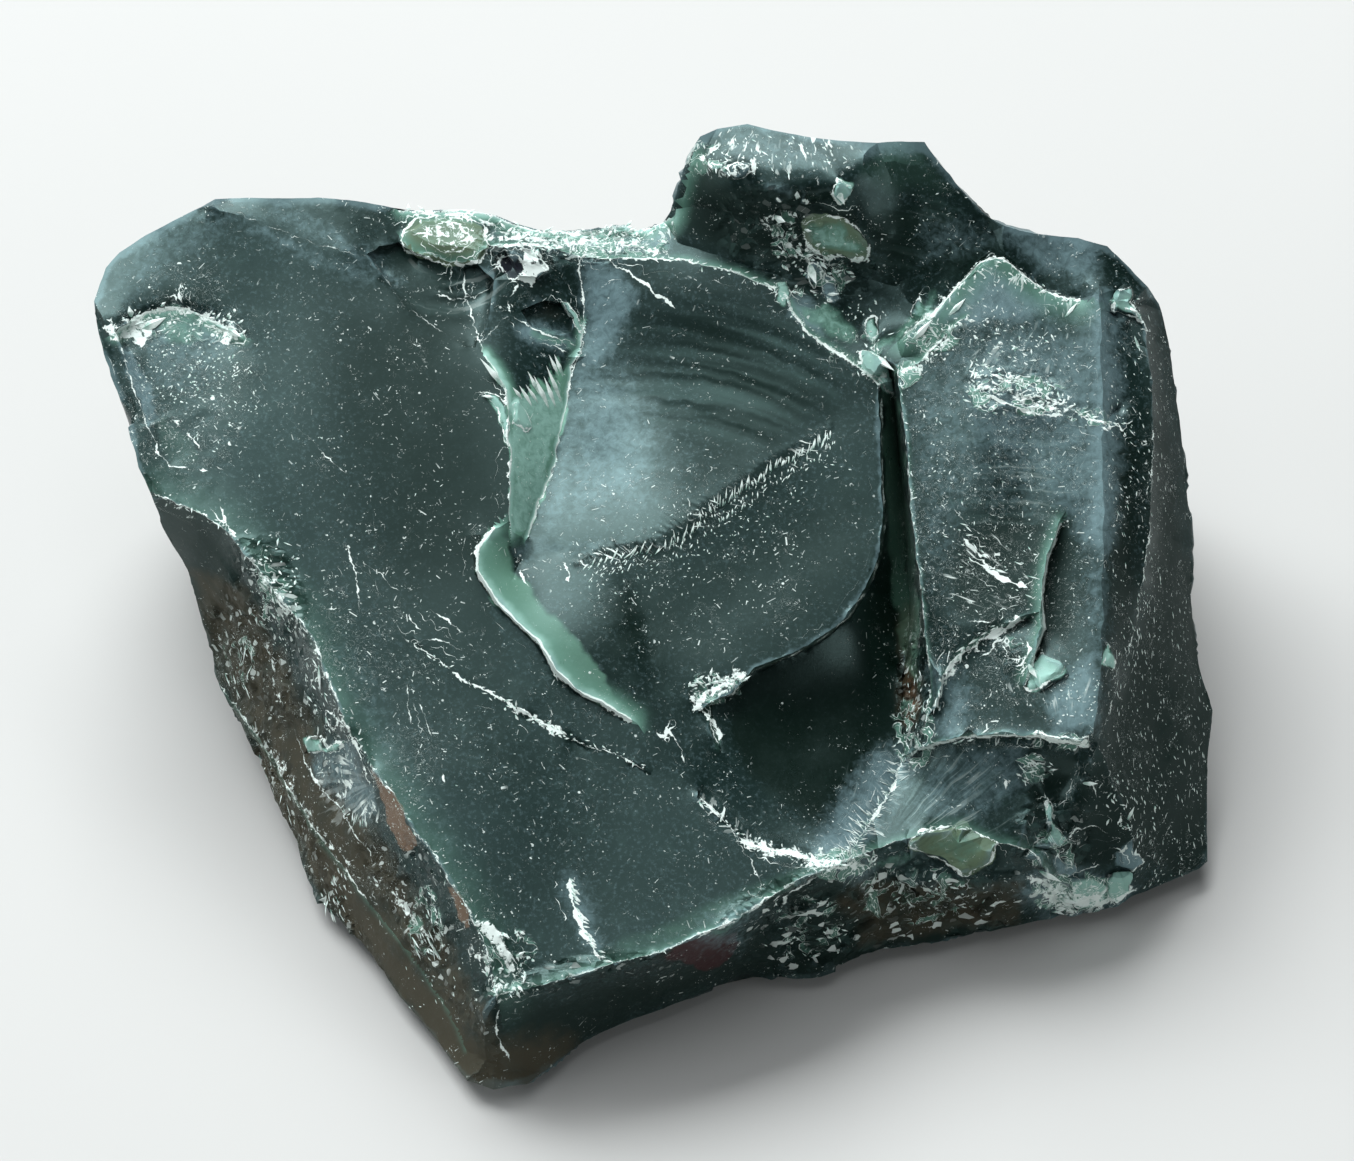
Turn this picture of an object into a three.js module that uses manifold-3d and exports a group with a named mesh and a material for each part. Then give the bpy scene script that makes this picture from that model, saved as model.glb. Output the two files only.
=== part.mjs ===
// Raw green quartz: one broken block, built as one closed faceted solid.
// Millimetres, +Z up, the block rests on z = 0 and its long side runs along X.
//
// The broken upper face is laid out on a tilted drawing board, square to a
// line of sight that comes down from the near side at LOOK_ELEVATION_DEG.
// Board spots are [x, y, rise]: x across, y up the board, rise in mm above the
// main face plane. The hidden walls are then dropped from the rim to the foot.

import * as THREE from 'three';
import { mergeVertices } from 'three/addons/utils/BufferGeometryUtils.js';
import Module from 'manifold-3d';

// ---------------------------------------------------------------- dimensions

const LOOK_ELEVATION_DEG = 50;   // tilt of the drawing board's line of sight
const FACE_LEVEL = 40;           // height of the face plane at the board's middle
const FACE_CLIMB = 0.333;        // climb of the face plane per mm up the board

const LINE_STEP = 2.3;           // spacing of samples along break lines
const GRID_STEP = 2.8;           // spacing of the plain facets between them
const CLEARANCE = 1.55;          // plain facets keep this far from break lines
const LEDGE_RUN = 0.7;           // width of a ledge's riser on the board
const PLATE_LIP = 0.5;           // width of the lip round a flake or a scar
const WALL_STEP = 6.0;           // facet size on the hidden walls

const SCOOP = -5.4;              // floor of the big scoop at the riser's foot
const SHEET = 1.3;               // feather edge of the sheet over the slab
const CREVICE = -10.5;           // floor of the crevice
const PANE = 1.6;                // crest of the right-hand pane
const SHOULDER = 3.2;            // the pane's upper rim
const HUMP_TOP = 72;             // height of the back hump above the table
const HEEL = 3.2;                // height where the near walls turn under

const BACK_BULGE = 5;            // outward swell of the back wall
const ROUGH_NEAR = 0.8;          // height of the broken facets on rough faces
const ROUGH_BACK = 2.2;          // same on the hidden walls

const ELEVATION = THREE.MathUtils.degToRad(LOOK_ELEVATION_DEG);
const planeHeight = (y) => FACE_LEVEL + FACE_CLIMB * y;
const riseOf = (y, height) => height - planeHeight(y);

// Turns heights above the table into rises above the face plane.
const standing = (spots) => spots.map(([x, y, z]) => [x, y, riseOf(y, z)]);

// ------------------------------------------------------------- rim of the face

// Seen outline, clockwise from the upper left, [x, y, height above the table].
const RIM = [
  [-83.7, 45, 51.5], [-82, 50, 52.5], [-80, 52.3, 53.2], [-76, 55, 54.6],
  [-72, 57, 56], [-67.5, 59.3, 57.3], [-65.5, 60.4, 57.6], [-58, 60.7, 58.2],
  [-54, 60.4, 58.2], [-48, 60.6, 58.2], [-42.5, 60, 58], [-37.5, 58.8, 57],
  [-34, 58.7, 56.8], [-28, 58.9, 56.4], [-24, 58.2, 56], [-20, 56.7, 54.5],
  [-16, 55.7, 53.6], [-13, 55.2, 53.3], [-9, 55.7, 53.5], [-4, 56.5, 54.2],
  [-1.5, 55.8, 54.2], [0, 56, 54.5], [2, 56.9, 55.5], [3, 58.5, 57.5],
  [4, 61.5, 61], [5, 65, 65.5], [6, 67.8, 68.5], [7.5, 69.6, HUMP_TOP - 1.7],
  [10, 70.8, HUMP_TOP - 1], [14.5, 71.6, HUMP_TOP - 0.6], [18, 70.7, HUMP_TOP - 0.8],
  [22, 69.9, HUMP_TOP - 1], [26, 69.3, HUMP_TOP - 1.2], [30, 68.9, HUMP_TOP - 1.4],
  [34, 68.7, HUMP_TOP - 1.4], [37, 68.9, HUMP_TOP - 1.4], [41, 68.9, HUMP_TOP - 1.6],
  [42.5, 67.5, 69.4], [44, 65, 67.8], [46, 62.5, 66.2], [48, 60.3, 64.8],
  [50, 58.2, 63.4], [53, 56.3, 62], [57, 55.2, 61], [61, 54.7, 60.5],
  [64.5, 54.7, 60], [67, 53.8, 59.3], [69.5, 53, 58.5], [72, 51.3, 57],
  [75.8, 47.8, 53.5], [77, 43.5, 50.5], [78, 40, 48.2], [78.3, 36, 45.5],
  [79, 31, 42.5], [79.7, 27, 40], [80.2, 22, 37], [81, 14, 32], [81.4, 10, 29.5],
  [81.3, 0, 23], [82.6, -10.3, 17], [84.6, -16.6, 13], [84.4, -19.2, 12],
  [83.7, -23.3, 10], [83.7, -32, 6], [83.7, -39.3, 4], [82.4, -40.4, HEEL],
  [72, -44.7, HEEL], [70, -46.1, HEEL], [59.1, -47.9, HEEL], [52.5, -49.2, HEEL],
  [43.7, -51.5, HEEL], [36.5, -52, HEEL], [30.3, -54, HEEL], [25, -56.4, HEEL],
  [21.3, -56.3, HEEL], [16.2, -56.1, HEEL], [13.8, -56.1, 3.6], [5.9, -59.4, 3.8],
  [-0.8, -62.1, 3.6], [-9.5, -65.4, HEEL], [-14, -68.9, HEEL], [-18.3, -72.2, HEEL],
  [-23.3, -72.9, HEEL], [-27.2, -71.7, HEEL], [-32.3, -65.1, HEEL],
  [-38.3, -58.2, HEEL], [-42.6, -52.2, HEEL], [-45.6, -48.3, HEEL],
  [-49.2, -45.8, HEEL], [-52.1, -40.8, HEEL], [-53.6, -35.3, 3.6],
  [-56.1, -30.8, 4], [-60, -21.3, 5], [-63, -16.4, 7], [-65.6, -11.4, 9.5],
  [-65.9, -9, 11.5], [-67.2, -3.9, 17.5], [-69.5, 4.4, 26.5], [-72.6, 9.8, 34.5],
  [-74.6, 15.3, 41.5], [-76.8, 20, 44], [-79.5, 30, 47], [-81.5, 35, 48.7],
  [-83, 40, 50.2],
];

// Foot of the hidden walls on the table, [X, Y] in the part's own frame before
// it is centred, clockwise seen from above.
const FOOT = [
  [-69.5, 12], [-72, 24], [-65, 33], [-50, 37], [-28, 35], [-8, 37], [10, 41],
  [30, 42], [46, 38], [60, 31], [71, 22], [75, 8], [76, -8], [78, -24], [79, -40],
  [78.5, -51], [69, -57], [58, -60.5], [37, -65.5], [25, -71], [6, -76.5],
  [-9, -83], [-17, -91], [-24, -92.5], [-31, -83], [-40, -67.5], [-48.5, -54.5],
  [-52.5, -42], [-56.5, -31], [-60, -22], [-62.5, -13], [-66, 0],
];
const FOOT_CENTRE = [0, -20];

// ----------------------------------------------------------------- break lines

// Ridges and valleys: the face bends along each of these.
const FOLDS = [
  // Ridge between the slab and the left band.
  [[-74.6, 16.2, -2.8], [-67.2, 13, -1.4], [-63.5, 10.6, -0.8], [-59.8, 6.1, -0.4],
    [-57, 2.4, -0.2], [-53.4, -2.1, 0], [-50.4, -5.5, 0], [-49.2, -9.5, 0],
    [-47.9, -12.3, 0], [-46.2, -16.4, 0.2], [-45.2, -19.2, 0.2], [-43.2, -21.9, 0],
    [-41.3, -25.4, 0], [-38.3, -28.8, 0], [-35.3, -34.4, 0], [-31.8, -38.3, 0],
    [-28.8, -43.2, 0], [-25.8, -48.3, -0.4], [-23.8, -54, -0.9], [-22.8, -58.8, -1.8]],
  // Outer edge of the slab above that ridge.
  [[-82.3, 43, -2.2], [-81, 38, -2.6], [-78.6, 32.5, -2.6], [-76.2, 26.5, -2.6],
    [-74.4, 22, -2.6], [-74.6, 16.2, -2.8]],
  // Ridge between the slab and the near face.
  [[-22.8, -58.8, -1.8], [-17.9, -57.9, -0.8], [-11.7, -56.1, -0.3], [-6, -54.3, 0],
    [1.5, -52.4, 0], [7.2, -50.1, 0], [10.8, -48.4, 0], [17, -44.9, -0.2],
    [24.8, -40.5, -0.6], [29.3, -39, -2]],
  // Slab edge along the riser, from the fringe down to the tip.
  [[-24.8, 36.5, -0.6], [-22, 32, 0], [-21.5, 30, 0], [-21, 22, 0.2], [-21, 18, 0.2],
    [-21.2, 14, 0.2], [-21, 9.7, 0]],
  // Foot of the riser, the scoop's left side.
  [[-10.6, 51.5, -3], [-10.4, 47, SCOOP + 0.9], [-9.6, 41.5, SCOOP],
    [-10.5, 38, SCOOP], [-11.8, 35, SCOOP], [-12, 32, SCOOP], [-13, 28, SCOOP + 0.2],
    [-14, 21, SCOOP + 0.6], [-15, 18.5, SCOOP + 0.9], [-16.5, 15, SCOOP + 1.5],
    [-18.3, 9.7, SCOOP + 2.6]],
  // Crest between the scoop and the sheet.
  [[-19.6, 5.4, -2], [-10.6, 6.4, -1.4], [-4.8, 8.4, -0.6], [0.9, 8.9, -0.2],
    [5.3, 11.9, 0.1], [8.6, 15.2, 0.1], [13.4, 18.2, -0.1], [18, 21.5, -0.4],
    [22, 23.5, -0.7], [26, 26.2, -0.9], [30, 27.5, -0.9], [34, 28.6, -0.8]],
  // Bright bevel above the scoop and the edge down to the crevice head.
  [[-24, 53.5, -2], [-18, 53.3, -2.5], [-13, 52.5, -3], [-10.6, 51.6, -3],
    [-6, 51.6, -3], [2, 51.3, -2.4], [6, 51, -1.8], [10, 50, -1.1], [14, 48.8, -0.5],
    [18, 47, 0.1], [20, 46, 0.3], [21.5, 43, 0.3], [23.5, 40, 0.2], [26, 38.5, 0],
    [29, 36.5, 0], [31, 35, 0], [33, 33.6, -0.2], [34.4, 32.2, -0.6]],
  // Valley behind that edge, where the hump's front starts to climb.
  [[4, 54, -2.6], [8, 52.6, -2], [12, 51.2, -1.5], [16, 49.8, -1], [19, 48.8, -0.6],
    [21, 48, 0], [24, 46.8, 0], [28, 47.3, -0.3], [33, 48.3, -0.6], [37, 47.2, -0.7],
    [39.6, 44.2, -0.7]],
  // Floor of the crevice.
  [[36.3, 33.4, -3], [36.7, 29, -6.5], [37.4, 23, CREVICE + 1.3],
    [38, 14.5, CREVICE + 0.4], [38.6, 7, CREVICE], [38.9, 0, CREVICE],
    [38.7, -6, CREVICE + 0.6], [38.2, -12, CREVICE + 0.6], [37.9, -18, CREVICE + 1],
    [38, -23.4, CREVICE + 1.6]],
  // Crest of the pane along the crevice.
  [[37.1, 35, PANE], [37.6, 30, PANE], [38.5, 23.2, PANE], [39.1, 14.5, PANE - 0.4],
    [39.9, 7.4, PANE - 0.8], [40.5, 3.9, PANE - 1.2], [40.8, 0.3, PANE - 1.8],
    [41.2, -5, PANE - 2.8], [41.8, -10, PANE - 3.6], [41.8, -15, PANE - 4.6],
    [41.2, -20, PANE - 5.8]],
  // Bruised bend between the bowl and the fan-shaped scoop.
  [[38, -23.4, CREVICE + 1.6], [36.5, -27.9, -8.4], [33.3, -32.6, -6.6],
    [30.3, -37.2, -3.6], [29.3, -39, -2]],
  // Lower edge of the fan-shaped scoop.
  [[29.3, -39, -2], [34, -37, -5.4], [38.6, -35.7, -6], [43.7, -34, -6.8],
    [48, -34.2, -7], [51.9, -36.2, -6.6], [55.2, -36.6, -6]],
  // Long bevel stripe down the pane.
  [[67.6, 46, 2], [67.7, 36, 2.4], [67.9, 26, 2.6], [68, 16, 2.6], [67.9, 6, 2.4],
    [67.7, -4, 2.1], [67.3, -12, 1.7], [66.2, -19.6, 1.2]],
  [[70.4, 26, 0.7], [71, 16, 0.2], [71, 6, -0.2], [70.6, -4, -0.6], [69.7, -10, -0.9]],
  // Far edge of the pane, above the rough right wall.
  [[73.2, 45.5, 0.2], [74.4, 40, -0.4], [75.3, 33, -1], [75.6, 26, -1.4],
    [75.3, 17, -2], [74.8, 9, -2.5], [73.5, 0, -2.6], [72.3, -6, -2.6],
    [71.4, -9.4, -2.5], [70.2, -12.4, -2.3], [69, -15.4, -2], [68.2, -18, -1.7],
    [66.8, -21.2, -1.2], [65.8, -24, -2], [64.4, -27, -3.5], [62.4, -30.4, -5]],
  // Edge that drops from the fan to the lower right corner.
  [[55.2, -36.6, -6], [56.4, -32.4, -5.2]],
  [[55.2, -36.6, -6], [58, -38.4, -7.4], [59.7, -41.4, -10.4], [60.2, -45, -18]],
  // Crack that sweeps in from the upper left rim.
  [[-66, 59.3, -1.6], [-60, 57, -1.3], [-55, 54.5, -1.2], [-50, 52.5, -1],
    [-46, 51.5, -0.6]],
];

// Folds given by height above the table: hump, near walls and left band.
const STANDING_FOLDS = [
  // Front edge of the hump's flat top.
  [[6.4, 67.4, 68.9], [9, 65.2, HUMP_TOP - 2], [12, 63.7, HUMP_TOP - 1],
    [16, 62.6, HUMP_TOP - 0.4], [20, 62, HUMP_TOP], [25, 62.3, HUMP_TOP],
    [27.5, 62.3, HUMP_TOP - 0.2], [30, 64.5, HUMP_TOP - 0.5],
    [32, 66.8, HUMP_TOP - 0.8], [34.2, 68.4, HUMP_TOP - 1.3]],
  // Shadowed ledge across the hump's front.
  [[17, 60, 67.6], [20, 59.1, 66.6], [24, 59.4, 66.4], [28, 58.9, 66.2],
    [31, 58, 65.6], [34, 55.4, 63.2]],
  // Lower edge of the shell facet on the hump's front.
  [[16.5, 56.5, 62.6], [20, 54.2, 61], [22.5, 53.2, 60.4], [25, 51.9, 59.9],
    [28, 51.2, 59.6], [31, 50.9, 59.3], [33.6, 51.4, 59.3]],
  // Left corner of the hump down to the scoop.
  [[4.4, 61.4, 60.6], [8, 59.4, 61], [12, 57.5, 61.5], [15, 55.4, 60.4],
    [17, 52.6, 58.2]],
  // Stepped ridge along the left band.
  [[-65.2, -12.2, 10], [-62, -16.5, 12], [-57.5, -23, 13.2], [-53, -30.5, 13.2],
    [-49.5, -35.5, 13.2], [-46, -40, 13], [-42, -45.4, 12.2], [-37.5, -51, 11.2],
    [-33, -56.6, 9.8], [-29.8, -62, 8.2], [-27.4, -67, 6]],
  // Second, shorter ridge higher on the band.
  [[-58, -6, 26], [-56, -12, 23.5], [-54.5, -17, 22], [-52.6, -21, 21],
    [-51.4, -25, 19.5], [-49.5, -28, 19], [-46, -32, 19.5], [-42.5, -37.5, 18.5],
    [-38, -43, 17.5], [-34, -48.5, 16.2], [-30.4, -54, 14.6], [-27.4, -59, 13]],
  // The near corner's two edges, with a narrow facet between them.
  [[-22.8, -58.8, 18.6], [-24.7, -61.6, 15.8], [-24.8, -66.4, 8.6],
    [-23.6, -70.6, 4.6]],
  [[-22.8, -58.8, 18.6], [-20.9, -62, 14.4], [-20.2, -66, 9], [-19.6, -70, 4.6]],
  // Ledge half way down the near face.
  [[-17.5, -62.6, 12], [-10, -60.4, 12.4], [-3, -58.6, 12], [4, -56.6, 11.4],
    [10, -53.6, 12.4], [15, -50.6, 13], [19.5, -48.4, 13.6]],
  [[20, -43.4, 24.6], [19.6, -48.4, 13.6], [18.4, -52.4, 8.6]],
  [[27, -39.8, 25.8], [29.4, -44, 19], [30.2, -48.6, 11]],
  // Broken ledges under the fan.
  [[31, -42, 20.6], [36, -41.4, 17.6], [41, -42.2, 15.8], [46, -43.6, 14.6],
    [52, -43.4, 14.6], [57.4, -43.6, 13]],
  [[22.4, -50.4, 11], [27, -50.6, 10], [34, -47.6, 10.4], [41, -47, 9.6],
    [49, -46.6, 9]],
  // Ridge down the rough right wall to its lower corner.
  [[66.8, -21.2, 31.8], [69, -27, 26.4], [71.6, -33, 19.8], [73, -38, 13.6],
    [72.6, -42, 8]],
  [[75, 9, 40.4], [78.4, 2, 30.4], [79.4, -8, 24.4], [80.6, -18, 18.2],
    [80.4, -28, 12.4], [80.6, -36, 7.6]],
];

// Ledges: [x, y, rise on the left, rise on the right] along the way they run.
const LEDGES = [
  // Feather edge of the sheet over the slab.
  [[-23.7, 10.7, 1, 0], [-26, 8.2, SHEET, 0], [-26.1, 4.2, SHEET, 0],
    [-23.7, 0.3, SHEET, 0], [-20.1, -3.5, SHEET, 0], [-16.4, -6.9, SHEET, 0],
    [-14.4, -10.7, SHEET, 0], [-11.1, -13.8, SHEET - 0.1, 0],
    [-7.7, -15.5, SHEET - 0.3, 0], [-3.2, -18.1, 0.4, 0]],
  // Sheet's right arc above the crevice and the bowl.
  [[34.6, 31, -2.4, -0.7], [34.8, 25, -3.6, -0.6], [34.9, 19.4, -4.2, -0.6],
    [35.3, 12.2, -4.6, -0.8], [34.6, 6.5, -4.6, -1], [33, 2.6, -4.2, -1],
    [29.7, -2.7, -3.6, -0.9], [26, -5.6, -3.2, -0.7], [21.2, -8.4, -2.8, -0.5],
    [15.8, -10.4, -2.4, -0.3], [12.3, -14.1, -2.2, -0.3], [8.9, -15.6, -1.9, -0.4],
    [9.1, -18.8, -1.8, -0.7], [10.2, -22.2, -1.8, -1.3]],
  // Long shallow crack step across the slab and on to the near ridge.
  [[-34.5, -6.8, 0.15, -0.1], [-28, -11.9, 0.3, -0.4], [-24, -14.1, 0.3, -0.5],
    [-18.5, -17.3, 0.3, -0.6], [-15.3, -19, 0.3, -0.7], [-9.6, -21.8, 0.2, -0.6],
    [-4.8, -22.9, 0.1, -0.5], [-0.6, -25.8, -0.2, -0.5]],
  [[7.2, -29.2, -1.2, -0.3], [11.4, -33.2, -1.6, -0.5], [15.3, -36.5, -1.8, -0.6],
    [20, -37.6, -1.8, -0.7], [24.7, -38.7, -1.8, -0.9]],
  // Thin ridge across the foot of the pane.
  [[39.4, -22.9, -6.8, -8], [41.1, -22.1, -4.6, -6.4], [46.2, -20.7, -1.2, -3.2],
    [51.9, -20.3, 0, -1.8], [58.6, -20.4, 0.6, -1.6], [64.4, -21.2, 0.6, -1.2]],
  // Upper rim of the pane with the dark sweep behind it.
  [[38, 39.6, -0.9, PANE + 0.6], [40, 41.6, -0.8, PANE + 1.2], [42.5, 42.9, -0.2, SHOULDER],
    [45, 46, 0.6, SHOULDER], [47, 48, 1, SHOULDER + 0.3], [49, 50.3, 1.4, SHOULDER + 0.4],
    [51, 51.5, 1.6, SHOULDER + 0.4], [53, 51.5, 1.6, SHOULDER + 0.3],
    [55, 50, 1.2, SHOULDER], [57, 48.3, 0.9, SHOULDER - 0.4],
    [59, 46.8, 0.7, SHOULDER - 0.9], [61, 45.8, 0.7, SHOULDER - 1.3],
    [64.6, 45.2, 1, SHOULDER - 1.6]],
  // Curved scar edge in the pane, with a smooth scoop on its right.
  [[61.6, 11.4, 0.6, 1.8], [59.8, 6.6, -0.8, 2], [58.7, 0.9, -1.2, 2.1],
    [59.1, -4.2, -0.8, 1.8], [57.7, -7.8, -0.3, 1.6], [56.6, -11.4, 0, 0.9]],
  // Arched scar edge low on the pane.
  [[56.2, -2.8, 0.6, 1.6], [51, -4.8, 0, 1.6], [47.2, -7.2, -0.8, 1],
    [44, -11.4, -1.8, -0.2], [43, -16, -2.8, -1.8]],
  // Dark groove beside the bevel stripe.
  [[70.2, 43, -0.6, -1.2], [70.4, 36, -0.4, -1.4], [70.4, 28.5, 0.2, -0.8]],
];

// Flakes and scars: closed outlines [x, y, lift] that stand proud or sink.
const PLATES = [
  // Pale scar on the upper left corner.
  [[-80.2, 40.4, -1.4], [-77, 42.5, -1.6], [-74.5, 43.8, -1.6], [-70, 44, -1.5],
    [-67.5, 42.8, -1.4], [-65, 41.6, -1.2], [-61.6, 40, -0.7], [-61.8, 35, -0.2],
    [-62.4, 30, 0], [-64.4, 26, 0], [-65, 21, 0], [-68, 19.6, 0],
    [-72, 20.4, -0.2], [-74.4, 25.6, -0.6], [-77, 32, -1]],
  // Shell scoop round the clam-shaped flake.
  [[-42.5, 52, -0.5], [-38, 46, -0.7], [-34, 41, -0.8], [-30, 39, -0.7],
    [-26.6, 38, -0.6], [-24.4, 42, -1.4], [-23.6, 48, -1.7], [-26, 50.2, -1.7],
    [-30, 50, -1.7], [-35, 51.6, -1.5], [-38, 53.8, -1]],
  // Clam-shaped flake.
  [[-37.4, 54.4, 0.6], [-35, 52.4, 0.9], [-30, 50.8, 1], [-26.2, 51.2, 1],
    [-24.4, 53.8, 0.8], [-25.4, 56, 0.5], [-29, 57.2, 0.5], [-34, 57, 0.5]],
  // Leaf flake beside the pit at the scoop's upper left.
  [[-22, 53, 0.8], [-19, 51.6, 0.9], [-16.6, 51.1, 0.9], [-15.3, 49.6, 0.8],
    [-17, 48.4, 0.7], [-19.8, 48.6, 0.7]],
  // Olive eye-shaped scoop beside the riser's head.
  [[-19.2, 43.6, -1], [-16, 45, -1.3], [-13.4, 44.6, -1.4], [-11.6, 42.4, -1.4],
    [-12, 40.4, -1.2], [-15, 40.2, -1], [-18, 41.2, -0.9]],
  // Small dark plate at the riser's tip.
  [[-20.4, 9.2, -0.8], [-17.6, 9.2, -0.7], [-13, 7.6, -0.5], [-12.6, 6.8, -0.5],
    [-19.4, 5.6, -0.8]],
  // Smooth green scar over the crevice head.
  [[28.6, 39.6, -1.2], [28, 44, -1.4], [31, 46.6, -1.3], [35, 46.6, -1.3],
    [37.4, 43.4, -1.2], [36.4, 39.6, -1.2], [33.4, 38, -1.1]],
  // Shell facet on the hump's front.
  [[21.4, 56.8, 0.6], [22.8, 54.6, 0.8], [25, 53, 0.9], [28, 52.4, 0.9],
    [32, 52.2, 0.8], [33.4, 53.4, 0.6], [31.6, 56, 0.5], [28, 57.6, 0.4],
    [23.6, 57.8, 0.4]],
  // Pale crystal chips on the hump's crest.
  [[12.2, 65.2, 1], [13.4, 66.4, 1], [15.2, 65.4, 0.9], [14.6, 63.8, 0.8],
    [12.8, 63.9, 0.8]],
  [[28.2, 62.2, 0.8], [29.4, 62, 0.8], [30.2, 60.2, 0.7], [28.6, 59.8, 0.6]],
  // Rubble patch high on the pane.
  [[47.4, 34.2, 0.5], [53, 34.4, 0.7], [56, 32.2, 0.7], [61, 30.6, 0.6],
    [64.2, 28.2, 0.3], [60, 27, 0.6], [55, 27.4, 0.8], [50, 29.4, 0.7]],
  // Knob on the pane's upper right.
  [[69.6, 43.8, 1.1], [70.6, 46.8, 1.3], [72.8, 46, 1.2], [73.4, 43, 1],
    [71.4, 41.6, 0.8]],
  // Pale flake on the pane's lower part.
  [[56.9, -11.6, 0.7], [58.4, -8.6, 0.9], [61.4, -9.6, 0.9], [62.4, -11, 0.7],
    [58.6, -13.6, 0.4]],
  // Yellow-green flake hanging over the fan's lower edge.
  [[38.8, -36.8, 0.8], [40.6, -34.9, 1], [46.8, -34, 1.1], [51.6, -36.4, 1],
    [50.8, -39.3, 0.9], [47.3, -41, 0.7], [43.8, -39, 0.7]],
  // Hollows at the lower right corner of the pane.
  [[56.4, -24.6, -1.8], [60, -24, -1.6], [63.6, -24.6, -1.2], [63, -28, -1.8],
    [60.6, -30.6, -2], [57.6, -29.8, -2.2]],
  [[62.4, -35.2, -1.4], [66, -34, -1.6], [69, -35.4, -1.4], [69.4, -39, -1.2],
    [64, -39.4, -1.4]],
  [[58.8, -30.8, 1.1], [60.4, -31.4, 1.2], [61.8, -35.4, 1.1], [60, -37.2, 0.9],
    [59.2, -35, 1]],
  // Green-white bruise with its small block at the bottom edge.
  [[59.8, -42.6, 0.5], [64, -41.6, 0.7], [68.4, -41.4, 0.7], [67.8, -45, 0.4],
    [61.6, -45.6, 0.3]],
  [[68.9, -41.4, 1.4], [71.7, -41.1, 1.5], [71.6, -43.8, 1], [69.4, -45, 0.8]],
  // Ribbed chip on the left band.
  [[-51.2, -22.4, -1], [-46.2, -21.6, -1.2], [-43.8, -25.6, -1.2],
    [-42.2, -29.6, -1.2], [-42.8, -33.6, -1], [-46, -31, -1.3], [-49.8, -27.6, -1.3]],
  // Blocks broken out of the near face under the junction.
  [[28.4, -44.4, 0.9], [30.4, -44.8, 1], [30.6, -47, 0.9], [28.6, -47.4, 0.7]],
  [[31.4, -42.4, -0.8], [35.6, -42.2, -1], [34.8, -45.4, -1], [31.8, -45.8, -0.8]],
  [[22.6, -52, 0.8], [25.6, -52.2, 0.9], [26, -54.9, 0.6], [23.4, -54.8, 0.6]],
  [[36.6, -44.6, -1.1], [43, -45.4, -1.2], [47, -45.2, -1], [45, -48.4, -1],
    [38, -48.6, -1]],
  // Chipped nose of the near corner.
  [[-21.4, -52.6, -0.7], [-18.8, -54.6, -0.8], [-16.6, -57.2, -0.6],
    [-21.4, -58, -0.8], [-22.6, -54.6, -0.7]],
];

// Broad swells and hollows: [x, y, half-width, half-height, lift].
const SWELLS = [
  [5, 34, 19, 14, -2.6],      // belly of the big scoop
  [-4, 20, 10, 10, -1],
  [23, -17, 12, 11, -1.8],    // the bowl
  [45, -28.5, 11, 7, -1.2],   // the fan
  [64, 0, 5, 14, -0.8],       // smooth scoop beside the scar edge
  [48, 20, 8, 20, 1.3],       // crown of the pane and the trough beside it
  [57.5, 16, 7, 16, -1.2],
  [-8, -6, 12, 11, 0.5],      // sheet
  [-46, 28, 24, 26, 1.1],     // slab
  [-28, -30, 24, 24, 1.2],
  [-27, 45, 5, 6, -0.8],
  [-21.8, 50.6, 2.2, 2, -2],  // pit by the leaf flake
  [-52, -22, 5, 9, -1.6],     // hollow on the left band
  [-40, -44, 5, 9, -1],
  [38, 60, 7, 6, -1.2],       // sweep behind the pane
  [52, 55, 8, 3.5, -0.7],
  [11, 57, 5, 4, -1],         // hump's left front
  [74, -20, 6, 12, -1.4],     // right wall
  [-5, -59, 12, 4, -1.4],     // near face
];

// Rough ground: [x, y, half-width, half-height, share of ROUGH_NEAR].
const ROUGH_GROUND = [
  [-60, -4, 9, 14, 1], [-54, -28, 9, 16, 1.1], [-40, -50, 12, 16, 1.1],
  [-28, -64, 8, 9, 0.8], [-66, 30, 8, 12, 0.5], [0, -58, 22, 6, 0.9],
  [24, -50, 14, 9, 1.4], [44, -45, 14, 8, 1.5], [62, -34, 9, 12, 1.3],
  [77, -20, 9, 26, 1.1], [78, 20, 5, 22, 0.9], [18, 56, 10, 8, 1.1],
  [26, 49, 8, 5, 0.9], [-14, 54, 14, 4, 0.9], [39.5, -14, 3, 10, 1],
  [72, 42, 4, 9, 0.8], [-17, 46, 7, 6, 0.6], [55, 31, 8, 5, 0.6],
  [10, -12, 5, 5, 0.4], [62, -44, 10, 4, 0.8],
];

// Broad facets struck off the hidden walls: centre of the cut plane, outward
// direction (azimuth and elevation in degrees).
const BACK_FACETS = [
  { at: [-60, 33.5, 24], azimuth: 118, elevation: -14 },
  { at: [-20, 36.5, 20], azimuth: 96, elevation: -10 },
  { at: [26, 42.5, 24], azimuth: 84, elevation: -16 },
  { at: [60, 31.5, 26], azimuth: 52, elevation: 6 },
  { at: [77.5, 4, 16], azimuth: 12, elevation: -12 },
  { at: [-76.5, 14, 22], azimuth: 176, elevation: -22 },
];

// Shell-shaped scars in the hidden walls: sphere centre and radius.
const BACK_SCARS = [
  { at: [-36, 66, 34], radius: 33 },
  { at: [8, 72, 44], radius: 34 },
  { at: [50, 62, 44], radius: 30 },
  { at: [-86, 56, 30], radius: 33 },
];

// --------------------------------------------------------------------- helpers

// A repeatable value between 0 and 1 for a pair of whole numbers.
function scatter(i, j) {
  const s = Math.sin(i * 127.1 + j * 311.7) * 43758.5453;
  return s - Math.floor(s);
}

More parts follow.
